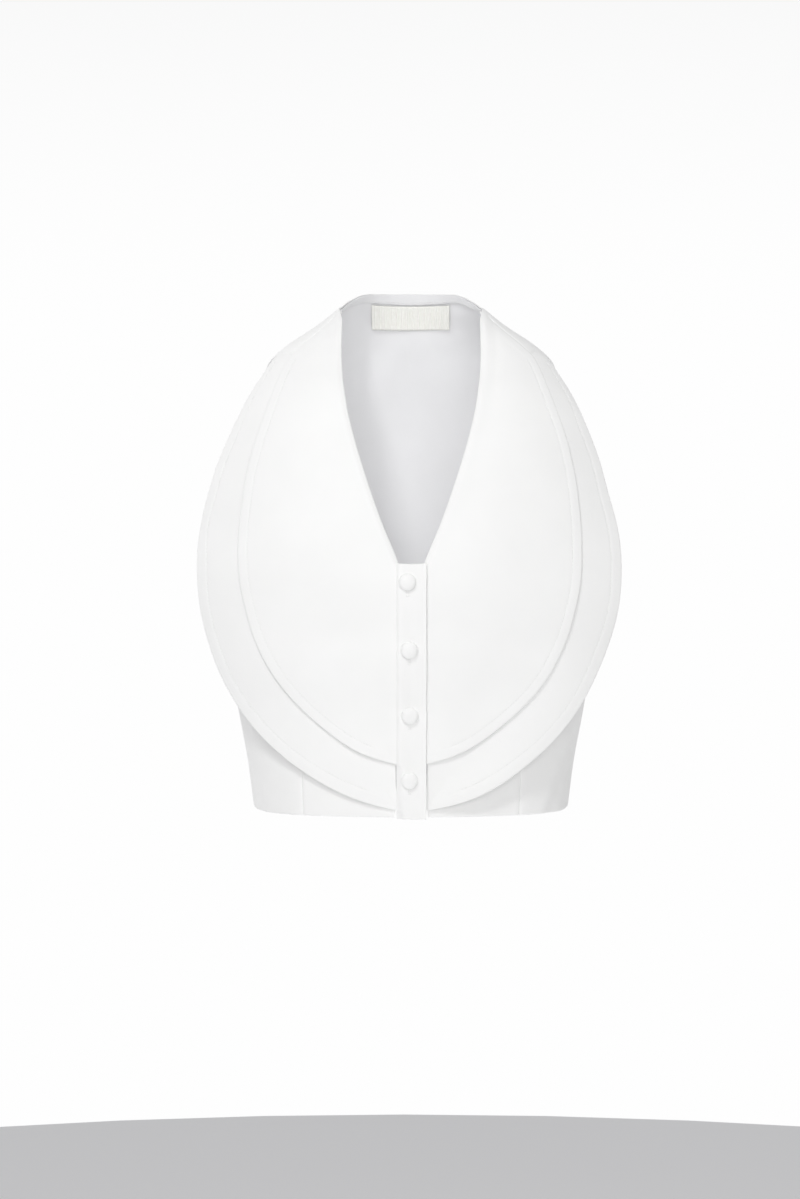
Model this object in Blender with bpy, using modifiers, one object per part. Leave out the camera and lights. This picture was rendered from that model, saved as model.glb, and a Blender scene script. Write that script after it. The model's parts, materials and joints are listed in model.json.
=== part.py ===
"""Sleeveless crop top in white crepe, in its worn form and with nobody in it.

A fitted vest carries two oval flap tiers on each front, a deep V neck and four covered buttons on a
placket. Units are metres, +Z is up, the front faces -Y and the wearer's left is at +X. The origin is
midway between the two neck points of the shoulders, where the wearer holds the garment up.

Every sheet lies on one worn form. A place on it is an angle, 90 degrees at the centre front, 0 at the
side and -90 at the centre back, and a height. A sheet is moved out from the form by its layer.
"""

import functools
import math
from collections import namedtuple

import bmesh
import bpy
from mathutils import Vector

BODY_WALL = 0.0012
TIER_WALL = 0.0015
SEAM_GAP = 0.0003
LAYER_GAP = 0.0006
LOWER_LAYER = LAYER_GAP + TIER_WALL
UPPER_LAYER = 2 * LOWER_LAYER
TUCK_FOOT = -0.130
TUCK_HEAD = -0.055
BELLY = 0.0008
BELLY_REACH = 0.035

HEM = -0.4415
CLOSE_LEVEL = -0.233
ROUNDNESS = 2.2
FLARE_ANGLE = 65.0
SEAM_ANGLE = 0.30
SIDE_ANGLE = 0.05
PRINCESS_GAP = 0.0006

PLACKET_LEFT = -0.0124
PLACKET_RIGHT = 0.0121
PLACKET_TOP = -0.2288
PLACKET_BOTTOM = -0.4425
PLACKET_WALL = 0.0020
PLACKET_LAYER = UPPER_LAYER + LAYER_GAP + PLACKET_WALL
FRONT_EDGE = 0.0090
STAND_WALL = 0.0025
STAND_LAYER = 0.0022

BUTTON_RADIUS = 0.0072
BUTTON_HEIGHT = 0.0046
BUTTON_RIM = 0.0010
SHANK_RADIUS = 0.0017
SHANK_HOLE = 0.0022
BUTTONS = ((-0.0033, -0.2441), (-0.0018, -0.2999), (-0.0013, -0.3547), (-0.0016, -0.4095))

FACING_WALL = 0.0010
LABEL_LEFT = -0.0345
LABEL_RIGHT = 0.0350
LABEL_TOP = 0.0072
LABEL_BOTTOM = -0.0132
LABEL_WALL = 0.0008

# How far the worn form reaches at each height. Flare is how much wider the tiers stand at the side.
Section = namedtuple("Section", "height half_width front back flare")
FORM = (
    Section(0.0175, 0.0515, 0.0450, 0.0600, 0.0000),
    Section(0.0080, 0.0575, 0.0465, 0.0640, 0.0000),
    Section(-0.0020, 0.0622, 0.0480, 0.0690, 0.0000),
    Section(-0.0060, 0.0668, 0.0500, 0.0710, 0.0000),
    Section(-0.0150, 0.0777, 0.0525, 0.0750, 0.0002),
    Section(-0.0240, 0.0903, 0.0550, 0.0780, 0.0005),
    Section(-0.0325, 0.1037, 0.0575, 0.0810, 0.0010),
    Section(-0.0415, 0.1155, 0.0600, 0.0840, 0.0015),
    Section(-0.0500, 0.1243, 0.0640, 0.0860, 0.0020),
    Section(-0.0600, 0.1310, 0.0690, 0.0885, 0.0030),
    Section(-0.0800, 0.1415, 0.0800, 0.0940, 0.0060),
    Section(-0.1200, 0.1550, 0.0940, 0.1010, 0.0130),
    Section(-0.1800, 0.1620, 0.1080, 0.1040, 0.0260),
    Section(-0.2400, 0.1630, 0.1170, 0.1020, 0.0350),
    Section(-0.3000, 0.1595, 0.1120, 0.0970, 0.0320),
    Section(-0.3500, 0.1520, 0.1020, 0.0940, 0.0300),
    Section(-0.4000, 0.1425, 0.0970, 0.0930, 0.0320),
    Section(-0.4450, 0.1365, 0.0950, 0.0930, 0.0350),
)

# Height of the neck edge at each angle, from the centre back round to the shoulder seam.
NeckRow = namedtuple("NeckRow", "angle height")
NECK_EDGE = (
    NeckRow(-90.0, 0.0173),
    NeckRow(-47.0, 0.0156),
    NeckRow(-34.0, 0.0126),
    NeckRow(-23.5, 0.0078),
    NeckRow(-11.0, 0.0026),
    NeckRow(0.0, -0.0020),
    NeckRow(23.0, -0.0055),
)

# Distance of the V edge from the centre at each height, below the shoulder seam.
EdgeRow = namedtuple("EdgeRow", "height x")
V_EDGE = (
    EdgeRow(-0.0055, 0.0612),
    EdgeRow(-0.0140, 0.0605),
    EdgeRow(-0.0400, 0.0601),
    EdgeRow(-0.0600, 0.0592),
    EdgeRow(-0.0800, 0.0570),
    EdgeRow(-0.1000, 0.0538),
    EdgeRow(-0.1250, 0.0477),
    EdgeRow(-0.1500, 0.0402),
    EdgeRow(-0.1750, 0.0319),
    EdgeRow(-0.2000, 0.0226),
    EdgeRow(-0.2200, 0.0140),
    EdgeRow(-0.2330, 0.0090),
)

# The princess seam between the centre front and the side front.
PRINCESS = (
    EdgeRow(-0.0370, 0.0918),
    EdgeRow(-0.1200, 0.0945),
    EdgeRow(-0.2350, 0.0962),
    EdgeRow(-0.3000, 0.0952),
    EdgeRow(-0.3920, 0.0936),
    EdgeRow(-0.4450, 0.0914),
)

# Lines on the form that turn, as stops from the first point to the last.
Stop = namedtuple("Stop", "angle height")
SHOULDER_SEAM = (
    Stop(23.0, -0.0055),
    Stop(32.0, -0.0250),
    Stop(34.0, -0.0390),
    Stop(34.0, -0.0490),
)
TIER_SHOULDER = (
    Stop(28.0, -0.0515),
    Stop(14.0, -0.0510),
)
FRONT_ARMHOLE = (
    Stop(34.0, -0.0490),
    Stop(35.0, -0.0660),
    Stop(37.5, -0.0850),
    Stop(40.0, -0.1150),
    Stop(41.0, -0.1500),
    Stop(38.0, -0.1850),
    Stop(30.0, -0.2110),
    Stop(15.0, -0.2275),
    Stop(0.0, -0.2330),
)
BACK_ARMHOLE = (
    Stop(34.0, -0.0490),
    Stop(23.0, -0.0485),
    Stop(6.0, -0.0515),
    Stop(-14.0, -0.0700),
    Stop(-29.0, -0.1010),
    Stop(-37.0, -0.1430),
    Stop(-35.0, -0.1800),
    Stop(-27.0, -0.2090),
    Stop(-14.0, -0.2275),
    Stop(0.0, -0.2330),
)

# The free edge of each tier, as distances from the middle of the oval at each direction. Directions
# are degrees above the horizontal, seen from the front. Left and right are the viewer's.
OVAL_MIDDLE = -0.225
OvalRow = namedtuple("OvalRow", "direction lower_left lower_right upper_left upper_right")
OVAL = (
    OvalRow(52.0, 0.2078, 0.2074, 0.1890, 0.1885),
    OvalRow(45.0, 0.1994, 0.1986, 0.1757, 0.1760),
    OvalRow(37.0, 0.1909, 0.1896, 0.1652, 0.1658),
    OvalRow(30.0, 0.1861, 0.1847, 0.1582, 0.1584),
    OvalRow(15.0, 0.1820, 0.1780, 0.1487, 0.1475),
    OvalRow(0.0, 0.1826, 0.1778, 0.1459, 0.1430),
    OvalRow(-15.0, 0.1850, 0.1801, 0.1454, 0.1429),
    OvalRow(-30.0, 0.1896, 0.1828, 0.1485, 0.1466),
    OvalRow(-45.0, 0.1948, 0.1899, 0.1523, 0.1511),
    OvalRow(-60.0, 0.1994, 0.1975, 0.1580, 0.1573),
    OvalRow(-75.0, 0.2058, 0.2065, 0.1671, 0.1669),
    OvalRow(-87.5, 0.2110, 0.2112, 0.1725, 0.1722),
)

# A tier: its layer in steps of the lower one, how far along the shoulder seam it is sewn, its column
# in the oval's table, and how far the lower part of its free edge stands off what is under it.
Tier = namedtuple("Tier", "name side steps sewn column stand_off")
TIERS = (
    Tier("lower_tier_left", -1, 1, 1.0, "lower_left", 0.0022),
    Tier("lower_tier_right", 1, 1, 1.0, "lower_right", 0.0085),
    Tier("upper_tier_left", -1, 2, 0.96, "upper_left", 0.0012),
    Tier("upper_tier_right", 1, 2, 0.99, "upper_right", 0.0040),
)
SEWN_PART = 0.12

TIER_COLUMNS = 9
TIER_ROWS = 28
UPPER_ROWS = 13
LOWER_ROWS = 6
ROW_CROWDING = 1.3
BACK_COLUMNS = 14
NECK_COLUMNS = 10
FRONT_COLUMNS = 6
SIDE_COLUMNS = 5

Finish = namedtuple("Finish", "colour roughness")
CREPE = Finish((0.93, 0.93, 0.94, 1.0), 0.62)
LINING_SIDE = Finish((0.84, 0.84, 0.87, 1.0), 0.70)
LABEL_WEAVE = Finish((0.90, 0.89, 0.82, 1.0), 0.75)


class Table:
    """Smooth values between a table's rows, with no overshoot, read by the first column."""

    def __init__(self, rows):
        self.kind = type(rows[0])
        self.rows = sorted(rows)
        self.keys = [row[0] for row in self.rows]
        self.slopes = [self.row_slopes(index) for index in range(len(self.rows))]

    def step_slope(self, index, column):
        low, high = self.rows[index], self.rows[index + 1]
        return (high[column] - low[column]) / (high[0] - low[0])

    def row_slopes(self, index):
        slopes = []
        for column in range(len(self.rows[0])):
            before = self.step_slope(max(index - 1, 0), column)
            after = self.step_slope(min(index, len(self.rows) - 2), column)
            flat = before * after <= 0
            slopes.append(0.0 if flat else 2 * before * after / (before + after))
        return slopes

    def at(self, key):
        key = min(max(key, self.keys[0]), self.keys[-1])
        index = 0
        while index < len(self.keys) - 2 and key > self.keys[index + 1]:
            index += 1
        low, high = self.rows[index], self.rows[index + 1]
        step = high[0] - low[0]
        t = (key - low[0]) / step
        values = []
        for column in range(len(low)):
            rise = self.slopes[index][column] * step
            fall = self.slopes[index + 1][column] * step
            change = high[column] - low[column]
            cubic = (rise + fall - 2 * change) * t**3 + (3 * change - 2 * rise - fall) * t**2
            values.append(low[column] + rise * t + cubic)
        return self.kind(*values)


# How a sheet lies on the form: how far away from it, with the flare of the tiers or without, and
# whether its top is tucked in so that the outermost tier meets the back at the shoulder seam.
Lay = namedtuple("Lay", "away flare tuck")
BACK = Lay(0.0, 0, 0)
FRONT = Lay(0.0, 0, 1)
FACING = Lay(-(BODY_WALL + LAYER_GAP), 0, 0)
LABEL = Lay(-(BODY_WALL + LAYER_GAP + SEAM_GAP), 0, 0)

form_table = Table(FORM)
neck_table = Table(NECK_EDGE)
v_table = Table(V_EDGE)
princess_table = Table(PRINCESS)
oval_table = Table(OVAL)


@functools.lru_cache(maxsize=None)
def section(height):
    return form_table.at(height)


def signed_power(value, power):
    return math.copysign(abs(value) ** power, value)


def mix(start, end, share):
    return start + (end - start) * share


def form_point(angle, height, flare):
    """A point of the worn form. Flare is 0 for the vest and 1 for the tiers, which stand wider."""
    rows = section(height)
    turn = math.radians(angle)
    power = 2 / ROUNDNESS
    outward = min(max(90.0 - angle, 0.0) / FLARE_ANGLE, 1.0) ** 2
    depth = rows.front if angle > 0 else rows.back
    x = (rows.half_width + flare * rows.flare * outward) * signed_power(math.cos(turn), power)
    return Vector((x, -depth * signed_power(math.sin(turn), power), height))


def ease(value):
    """0 up to 0, 1 from 1 on, and a smooth rise between."""
    value = min(max(value, 0.0), 1.0)
    return value * value * (3 - 2 * value)


def moved_out(angle, height, lay, more=0.0):
    """The form's point at this angle and height, moved along its normal to where a sheet lies."""
    turn, rise = 0.5, 0.0005
    flare = lay.flare
    around = form_point(angle + turn, height, flare) - form_point(angle - turn, height, flare)
    up = form_point(angle, height + rise, flare) - form_point(angle, height - rise, flare)
    tuck = lay.tuck * UPPER_LAYER * ease((height - TUCK_FOOT) / (TUCK_HEAD - TUCK_FOOT))
    away = lay.away + more - tuck
    return form_point(angle, height, flare) + away * up.cross(around).normalized()


def angle_of(x, height, lay, more=0.0):
    """The angle on the front at which a sheet is x from the centre."""
    low, high = 0.0, 90.0
    for _ in range(26):
        middle = (low + high) / 2
        if moved_out(middle, height, lay, more).x > x:
            low = middle
        else:
            high = middle
    return (low + high) / 2


def back_angle_of(x, height, lay):
    """The angle on the back at which a sheet is x from the centre."""
    low, high = -90.0, 0.0
    for _ in range(26):
        middle = (low + high) / 2
        if moved_out(middle, height, lay).x < x:
            low = middle
        else:
            high = middle
    return low


class Path:
    """A line on the form through (angle, height) stops, read by the share of its length walked."""

    def __init__(self, stops, lay):
        self.stops = [tuple(stop) for stop in stops]
        points = [moved_out(angle, height, lay) for angle, height in self.stops]
        self.walked = [0.0]
        for start, end in zip(points, points[1:]):
            self.walked.append(self.walked[-1] + (end - start).length)

    def at(self, share):
        goal = share * self.walked[-1]
        index = 0
        while index < len(self.walked) - 2 and goal > self.walked[index + 1]:
            index += 1
        t = (goal - self.walked[index]) / (self.walked[index + 1] - self.walked[index])
        start, end = self.stops[index], self.stops[index + 1]
        return mix(start[0], end[0], t), mix(start[1], end[1], t)


def rounded(stops, steps=6):
    """The same stops with a smooth curve between them."""
    ends = [stops[0], *stops, stops[-1]]
    found = [tuple(stops[0])]
    for index in range(len(stops) - 1):
        before, start, end, after = ends[index : index + 4]
        for step in range(1, steps + 1):
            t = step / steps
            pair = []
            for column in range(2):
                leave = (end[column] - before[column]) / 2
                arrive = (after[column] - start[column]) / 2
                change = end[column] - start[column]
                cubic = (leave + arrive - 2 * change) * t**3
                square = (3 * change - 2 * leave - arrive) * t**2
                pair.append(start[column] + leave * t + square + cubic)
            found.append(tuple(pair))
    return found


def shifted(stops, angle):
    return [(stop[0] + angle, stop[1]) for stop in stops]


def heights(top, bottom, count):
    return [mix(top, bottom, index / count) for index in range(count + 1)]


def v_edge_stops(lay):
    """The V edge of a sheet, from the shoulder seam down to the top of the placket."""
    stops = [(V_START_ANGLE, V_EDGE[0].height)]
    for height in heights(V_EDGE[0].height, CLOSE_LEVEL, 40)[2:]:
        stops.append((angle_of(v_table.at(height).x, height, lay), height))
    return stops


def princess_angle(height, gap):
    return angle_of(princess_table.at(height).x + gap, height, FRONT)


def princess_stops(start, gap):
    """The princess seam from its start on the shoulder down to the level of the underarm."""
    stops = [start]
    for height in heights(start[1], CLOSE_LEVEL, 24)[1:]:
        stops.append((princess_angle(height, gap), height))
    return stops


V_START_ANGLE = SHOULDER_SEAM[0].angle + SEAM_ANGLE
seam_line = rounded(SHOULDER_SEAM)


def armhole_path(stops, way, lay):
    """An armhole's edge, parted from the neighbouring panel at the shoulder and side seams."""
    line = shifted(rounded(stops), way * SEAM_ANGLE)
    return Path([*line[:-1], (way * SIDE_ANGLE, CLOSE_LEVEL)], lay)


def share_at(path, x):
    """The share of the shoulder seam at which it is x from the centre."""
    low, high = 0.0, 1.0
    for _ in range(26):
        middle = (low + high) / 2
        if moved_out(*path.at(middle), FRONT).x < x:
            low = middle
        else:
            high = middle
    return low


def material(name, finish):
    made = bpy.data.materials.new(name)
    made.use_nodes = True
    shader = made.node_tree.nodes["Principled BSDF"]
    shader.inputs["Base Color"].default_value = finish.colour
    shader.inputs["Roughness"].default_value = finish.roughness
    shader.inputs["Metallic"].default_value = 0.0
    return made


def add_object(name, mesh, collection, finish):
    made = bpy.data.objects.new(name, mesh)
    collection.objects.link(made)
    mesh.materials.append(material(name, finish))
    mesh.shade_smooth()
    mesh.set_sharp_from_angle(angle=math.radians(40))
    return made


def sheet_mesh(name, columns, rows, place, side=1, cutting_tips=False):
    """A grid laid on the form. Place gives the point for the shares across and down."""
    bm = bmesh.new()
    bmesh.ops.create_grid(bm, x_segments=columns, y_segments=rows, size=0.5)
    for vertex in bm.verts:
        point = place(vertex.co.x + 0.5, 0.5 - vertex.co.y)
        vertex.co = (side * point.x, point.y, point.z)
    if cutting_tips:
        bmesh.ops.remove_doubles(bm, verts=bm.verts, dist=0.00002)
    bm.normal_update()
    facing_out = sum(
        face.normal.x * face.calc_center_median().x + face.normal.y * face.calc_center_median().y
        for face in bm.faces
    )
    if facing_out < 0:
        bmesh.ops.reverse_faces(bm, faces=bm.faces)
    mesh = bpy.data.meshes.new(name)
    bm.to_mesh(mesh)
    bm.free()
    return mesh


def give_wall(sheet, thickness):
    """Thickens a sheet inwards, so that its outer side stays where it is."""
    wall = sheet.modifiers.new("wall", "SOLIDIFY")
    wall.thickness = thickness
    wall.offset = -1.0
    wall.use_even_offset = True
    wall.use_quality_normals = True


def panel(lay, top, inner, outer, low_inner, low_outer):
    """How a vest panel is laid: blended between its edges above the underarm, level rows below."""
    share_above = UPPER_ROWS / (UPPER_ROWS + LOWER_ROWS)

    def place(across, down, lay=lay):
        if down <= share_above + 1e-6:
            v = min(down / share_above, 1.0) ** ROW_CROWDING
            left, right = inner(v), outer(v)
            corners = inner(0.0), outer(0.0), inner(1.0), outer(1.0)
            pair = []
            for column in range(2):
                base = mix(corners[2][column], corners[3][column], across)
                ruled = mix(top(across)[column], base, v)
                crossed = mix(left[column], right[column], across)
                upper = mix(corners[0][column], corners[1][column], across)
                pair.append(ruled + crossed - mix(upper, base, v))
            return moved_out(*pair, lay)
        height = mix(CLOSE_LEVEL, HEM, (down - share_above) / (1 - share_above))
        return moved_out(mix(low_inner(height), low_outer(height), across), height, lay)

    return place


def add_back(collection):
    """The back is one piece, cut on the fold: half of it is laid and mirrored."""
    seam = Path(shifted(seam_line, -SEAM_ANGLE), BACK)
    neck_angles = [mix(-90.0, SHOULDER_SEAM[0].angle - SEAM_ANGLE, i / 40) for i in range(41)]
    neck = Path([(angle, neck_table.at(angle).height) for angle in neck_angles], BACK)
    armhole = armhole_path(BACK_ARMHOLE, -1, BACK)
    neck_share = NECK_COLUMNS / BACK_COLUMNS

    def top(across):
        if across <= neck_share:
            return neck.at(across / neck_share)
        return seam.at((across - neck_share) / (1 - neck_share))

    place = panel(
        BACK,
        top,
        lambda v: (-90.0, mix(NECK_EDGE[0].height, CLOSE_LEVEL, v)),
        armhole.at,
        lambda height: -90.0,
        lambda height: -SIDE_ANGLE,
    )
    back = add_object(
        "back_panel",
        sheet_mesh("back_panel", BACK_COLUMNS, UPPER_ROWS + LOWER_ROWS, place),
        collection,
        LINING_SIDE,
    )
    halves = back.modifiers.new("other half", "MIRROR")
    halves.merge_threshold = 0.00005
    give_wall(back, BODY_WALL)
    return place


def add_fronts(collection):
    """A centre front and a side front on each side, sewn together along the princess seam."""
    seam = Path(shifted(seam_line, SEAM_ANGLE), FRONT)
    v_edge = Path(v_edge_stops(FRONT), FRONT)
    armhole = armhole_path(FRONT_ARMHOLE, 1, FRONT)
    centre_end = share_at(seam, PRINCESS[0].x - PRINCESS_GAP / 2)
    side_start = share_at(seam, PRINCESS[0].x + PRINCESS_GAP / 2)
    inner_princess = Path(princess_stops(seam.at(centre_end), -PRINCESS_GAP / 2), FRONT)
    outer_princess = Path(princess_stops(seam.at(side_start), PRINCESS_GAP / 2), FRONT)
    centre = panel(
        FRONT,
        lambda across: seam.at(centre_end * across),
        v_edge.at,
        inner_princess.at,
        lambda height: angle_of(FRONT_EDGE, height, FRONT),
        lambda height: princess_angle(height, -PRINCESS_GAP / 2),
    )
    side_front = panel(
        FRONT,
        lambda across: seam.at(mix(side_start, 1.0, across)),
        outer_princess.at,
        armhole.at,
        lambda height: princess_angle(height, PRINCESS_GAP / 2),
        lambda height: SIDE_ANGLE,
    )
    for side, word in ((-1, "left"), (1, "right")):
        for piece, columns, place in (
            ("centre_front", FRONT_COLUMNS, centre),
            ("side_front", SIDE_COLUMNS, side_front),
        ):
            name = f"{piece}_{word}"
            mesh = sheet_mesh(name, columns, UPPER_ROWS + LOWER_ROWS, place, side)
            give_wall(add_object(name, mesh, collection, CREPE), BODY_WALL)


def edge_lift(tier, share):
    """How far a tier's free edge is pushed out at a share of the way round it from the neck."""
    return tier.stand_off * ease((share - 0.35) / 0.4) * ease((1.0 - share) / 0.1)


def oval_stops(tier, lay):
    """The free edge of a tier, from the shoulder down to the placket."""
    stops = []
    for step in range(49):
        direction = mix(OVAL[0].direction, OVAL[-1].direction, step / 48)
        distance = getattr(oval_table.at(direction), tier.column)
        x = max(distance * math.cos(math.radians(direction)), FRONT_EDGE)
        height = OVAL_MIDDLE + distance * math.sin(math.radians(direction))
        lift = edge_lift(tier, mix(SEWN_PART, 1.0, step / 48))
        stops.append((angle_of(x, height, lay, lift), height))
    return stops


def add_tier(tier, collection):
    """A leaf-shaped sheet: it is pointed at the neck and at the foot of the placket."""
    lay = Lay(tier.steps * LOWER_LAYER, 1, 1)
    seam = Path(shifted(seam_line, SEAM_ANGLE), lay)
    sewn = [seam.at(tier.sewn * step / 24) for step in range(25)]
    if tier.steps == 1:
        sewn += rounded((SHOULDER_SEAM[-1], *TIER_SHOULDER))[1:]
    free = oval_stops(tier, lay)
    outer = Path(sewn + free, lay)
    inner_stops = v_edge_stops(lay)
    for height in heights(CLOSE_LEVEL, free[-1][1], 20)[1:]:
        inner_stops.append((angle_of(FRONT_EDGE, height, lay), height))
    inner = Path(inner_stops, lay)

    def place(across, down):
        share = mix(down, down**2, 0.3)
        start, end = inner.at(share), outer.at(share)
        width = (moved_out(*start, lay) - moved_out(*end, lay)).length
        past_seam = ease((share - 0.6 * SEWN_PART) / SEWN_PART)
        belly = tier.steps * BELLY * past_seam * ease(across * width / BELLY_REACH)
        lift = edge_lift(tier, share) * ease((across - 0.4) / 0.6)
        pair = mix(start[0], end[0], across), mix(start[1], end[1], across)
        return moved_out(*pair, lay, belly + lift)

    mesh = sheet_mesh(tier.name, TIER_COLUMNS, TIER_ROWS, place, tier.side, cutting_tips=True)
    give_wall(add_object(tier.name, mesh, collection, CREPE), TIER_WALL)


def front_strip_point(x, height, layer):
    """A point near the centre front, on a layer, at x from the centre."""
    lay = Lay(layer, 0, 1)
    point = moved_out(angle_of(abs(x), height, lay), height, lay)
    return Vector((math.copysign(point.x, x), point.y, point.z))


def add_strip(name, left, right, top, bottom, layer, wall, collection):
    """A straight band down the centre front."""

    def place(across, down):
        return front_strip_point(mix(left, right, across), mix(top, bottom, down), layer)

    strip = add_object(name, sheet_mesh(name, 2, 12, place), collection, CREPE)
    give_wall(strip, wall)
    return strip


def button_frame(x, height):
    """Where a button sits on the placket, and the turn that faces it outwards."""
    rise = 0.004
    seat = front_strip_point(x, height, PLACKET_LAYER)
    above = front_strip_point(x, height + rise, PLACKET_LAYER)
    below = front_strip_point(x, height - rise, PLACKET_LAYER)
    along = (above - below).normalized()
    outward = Vector((0.0, -along.z, along.y))
    return seat + outward * SEAM_GAP, math.atan2(-outward.y, outward.z)


def button_mesh():
    """A dome over a short rim, with its shank behind it, as a profile from the top to the shank."""
    bm = bmesh.new()
    shank_length = PLACKET_LAYER - STAND_LAYER
    profile = []
    dome = BUTTON_HEIGHT - BUTTON_RIM
    for step in range(6):
        turn = math.radians(90 - 18 * step)
        profile.append((BUTTON_RADIUS * math.cos(turn), BUTTON_RIM + dome * math.sin(turn)))
    profile.append((BUTTON_RADIUS - 0.0006, 0.0))
    profile.append((SHANK_RADIUS, 0.0))
    profile.append((SHANK_RADIUS, -shank_length))
    profile.append((0.0, -shank_length))
    profile[0] = (0.0, BUTTON_HEIGHT)
    points = [bm.verts.new((radius, 0.0, height)) for radius, height in profile]
    for start, end in zip(points, points[1:]):
        bm.edges.new((start, end))
    mesh = bpy.data.meshes.new("button")
    bm.to_mesh(mesh)
    bm.free()
    return mesh


def add_button(index, x, height, collection):
    made = add_object(f"button_{index}", button_mesh(), collection, CREPE)
    turned = made.modifiers.new("turned", "SCREW")
    turned.axis = "Z"
    turned.angle = math.tau
    turned.steps = 18
    turned.render_steps = 18
    turned.use_merge_vertices = True
    turned.merge_threshold = 0.00001
    made.location, turn = button_frame(x, height)
    made.rotation_euler = (turn, 0.0, 0.0)


def cut_buttonhole(placket, index, x, height, cutters):
    """The opening in the placket that a button's shank passes through."""
    bm = bmesh.new()
    bmesh.ops.create_cone(
        bm,
        cap_ends=True,
        segments=14,
        radius1=SHANK_HOLE,
        radius2=SHANK_HOLE,
        depth=4 * PLACKET_WALL,
    )
    mesh = bpy.data.meshes.new(f"buttonhole_{index}")
    bm.to_mesh(mesh)
    bm.free()
    cutter = bpy.data.objects.new(f"buttonhole_{index}", mesh)
    cutters.objects.link(cutter)
    cutter.hide_render = True
    cutter.display_type = "WIRE"
    cutter.location, turn = button_frame(x, height)
    cutter.rotation_euler = (turn, 0.0, 0.0)
    cut = placket.modifiers.new(f"buttonhole {index}", "BOOLEAN")
    cut.operation = "DIFFERENCE"
    cut.object = cutter


def add_neck_facing(back_place, collection):
    """The turned band inside the back neck: the back's first row of points, moved in."""
    row = 1 / (UPPER_ROWS + LOWER_ROWS)

    def place(across, down):
        return back_place(across * NECK_COLUMNS / BACK_COLUMNS, row * down, FACING)

    mesh = sheet_mesh("back_neck_facing", NECK_COLUMNS, 1, place)
    facing = add_object("back_neck_facing", mesh, collection, LINING_SIDE)
    halves = facing.modifiers.new("other half", "MIRROR")
    halves.merge_threshold = 0.00005
    give_wall(facing, FACING_WALL)


def add_label(collection):
    """The bare woven label inside the back neck, under the facing."""

    def place(across, down):
        x = mix(LABEL_LEFT, LABEL_RIGHT, across)
        height = mix(LABEL_TOP, LABEL_BOTTOM, down)
        point = moved_out(back_angle_of(abs(x), height, LABEL), height, LABEL)
        return Vector((math.copysign(point.x, x), point.y, point.z))

    label = add_object("label", sheet_mesh("label", 10, 2, place), collection, LABEL_WEAVE)
    give_wall(label, LABEL_WALL)


def main():
    for leftover in list(bpy.data.objects):
        bpy.data.objects.remove(leftover, do_unlink=True)
    garment = bpy.data.collections.new("crop_top")
    cutters = bpy.data.collections.new("cutters")
    bpy.context.scene.collection.children.link(garment)
    bpy.context.scene.collection.children.link(cutters)
    back_place = add_back(garment)
    add_fronts(garment)
    for tier in TIERS:
        add_tier(tier, garment)
    placket = add_strip(
        "placket",
        PLACKET_LEFT,
        PLACKET_RIGHT,
        PLACKET_TOP,
        PLACKET_BOTTOM,
        PLACKET_LAYER,
        PLACKET_WALL,
        garment,
    )
    add_strip(
        "button_stand",
        SEAM_GAP - FRONT_EDGE,
        FRONT_EDGE - SEAM_GAP,
        PLACKET_TOP,
        HEM,
        STAND_LAYER,
        STAND_WALL,
        garment,
    )
    for index, (x, height) in enumerate(BUTTONS, start=1):
        cut_buttonhole(placket, index, x, height, cutters)
        add_button(index, x, height, garment)
    add_neck_facing(back_place, garment)
    add_label(garment)


main()
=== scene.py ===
# %% [markdown]
# # A sleeveless crop top in white crepe
#
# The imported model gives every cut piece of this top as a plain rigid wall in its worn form. This lesson
# turns each wall into sewn cloth. The pieces lie on one worn form, so neighbours still meet at their seams
# after they get creases, turned edges and stitching.

import functools
import json
import math
from collections import namedtuple

import bmesh
import bpy
from mathutils import Matrix, Vector

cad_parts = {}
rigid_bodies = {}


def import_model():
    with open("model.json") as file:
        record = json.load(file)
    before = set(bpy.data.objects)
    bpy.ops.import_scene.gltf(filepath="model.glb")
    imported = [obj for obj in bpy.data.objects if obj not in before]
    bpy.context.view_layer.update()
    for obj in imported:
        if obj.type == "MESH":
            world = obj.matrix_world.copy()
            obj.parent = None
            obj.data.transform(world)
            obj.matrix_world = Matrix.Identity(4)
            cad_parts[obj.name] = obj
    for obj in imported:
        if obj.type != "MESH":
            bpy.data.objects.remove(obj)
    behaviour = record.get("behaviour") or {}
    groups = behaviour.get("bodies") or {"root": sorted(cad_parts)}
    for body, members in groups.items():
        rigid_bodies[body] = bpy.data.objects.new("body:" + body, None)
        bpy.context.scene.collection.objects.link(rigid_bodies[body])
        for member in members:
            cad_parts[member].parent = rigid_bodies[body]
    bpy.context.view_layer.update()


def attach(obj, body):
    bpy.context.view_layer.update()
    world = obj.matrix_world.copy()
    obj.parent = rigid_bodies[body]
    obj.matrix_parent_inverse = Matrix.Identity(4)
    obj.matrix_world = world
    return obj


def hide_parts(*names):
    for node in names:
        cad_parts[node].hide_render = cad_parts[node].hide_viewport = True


for leftover in list(bpy.data.objects):
    bpy.data.objects.remove(leftover, do_unlink=True)
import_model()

# %% [markdown]
# ## The camera first
#
# The photograph looks level at the front from about two metres, with a short telephoto lens. Setting this
# up first means that every later render can be compared with it.

# %% Camera
CAMERA_PLACE = (-0.0095, -2.1, -0.2586)
LENS_MM = 71.8
SENSOR_MM = 36.0

camera_data = bpy.data.cameras.new("camera")
camera_data.lens = LENS_MM
camera_data.sensor_width = SENSOR_MM
camera_data.clip_end = 50.0
camera = bpy.data.objects.new("camera", camera_data)
camera.location = CAMERA_PLACE
camera.rotation_euler = (math.radians(90), 0.0, 0.0)
bpy.context.scene.collection.objects.link(camera)
bpy.context.scene.camera = camera
bpy.context.scene.view_settings.view_transform = "Standard"
print("camera", CAMERA_PLACE, "lens", LENS_MM)

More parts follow.
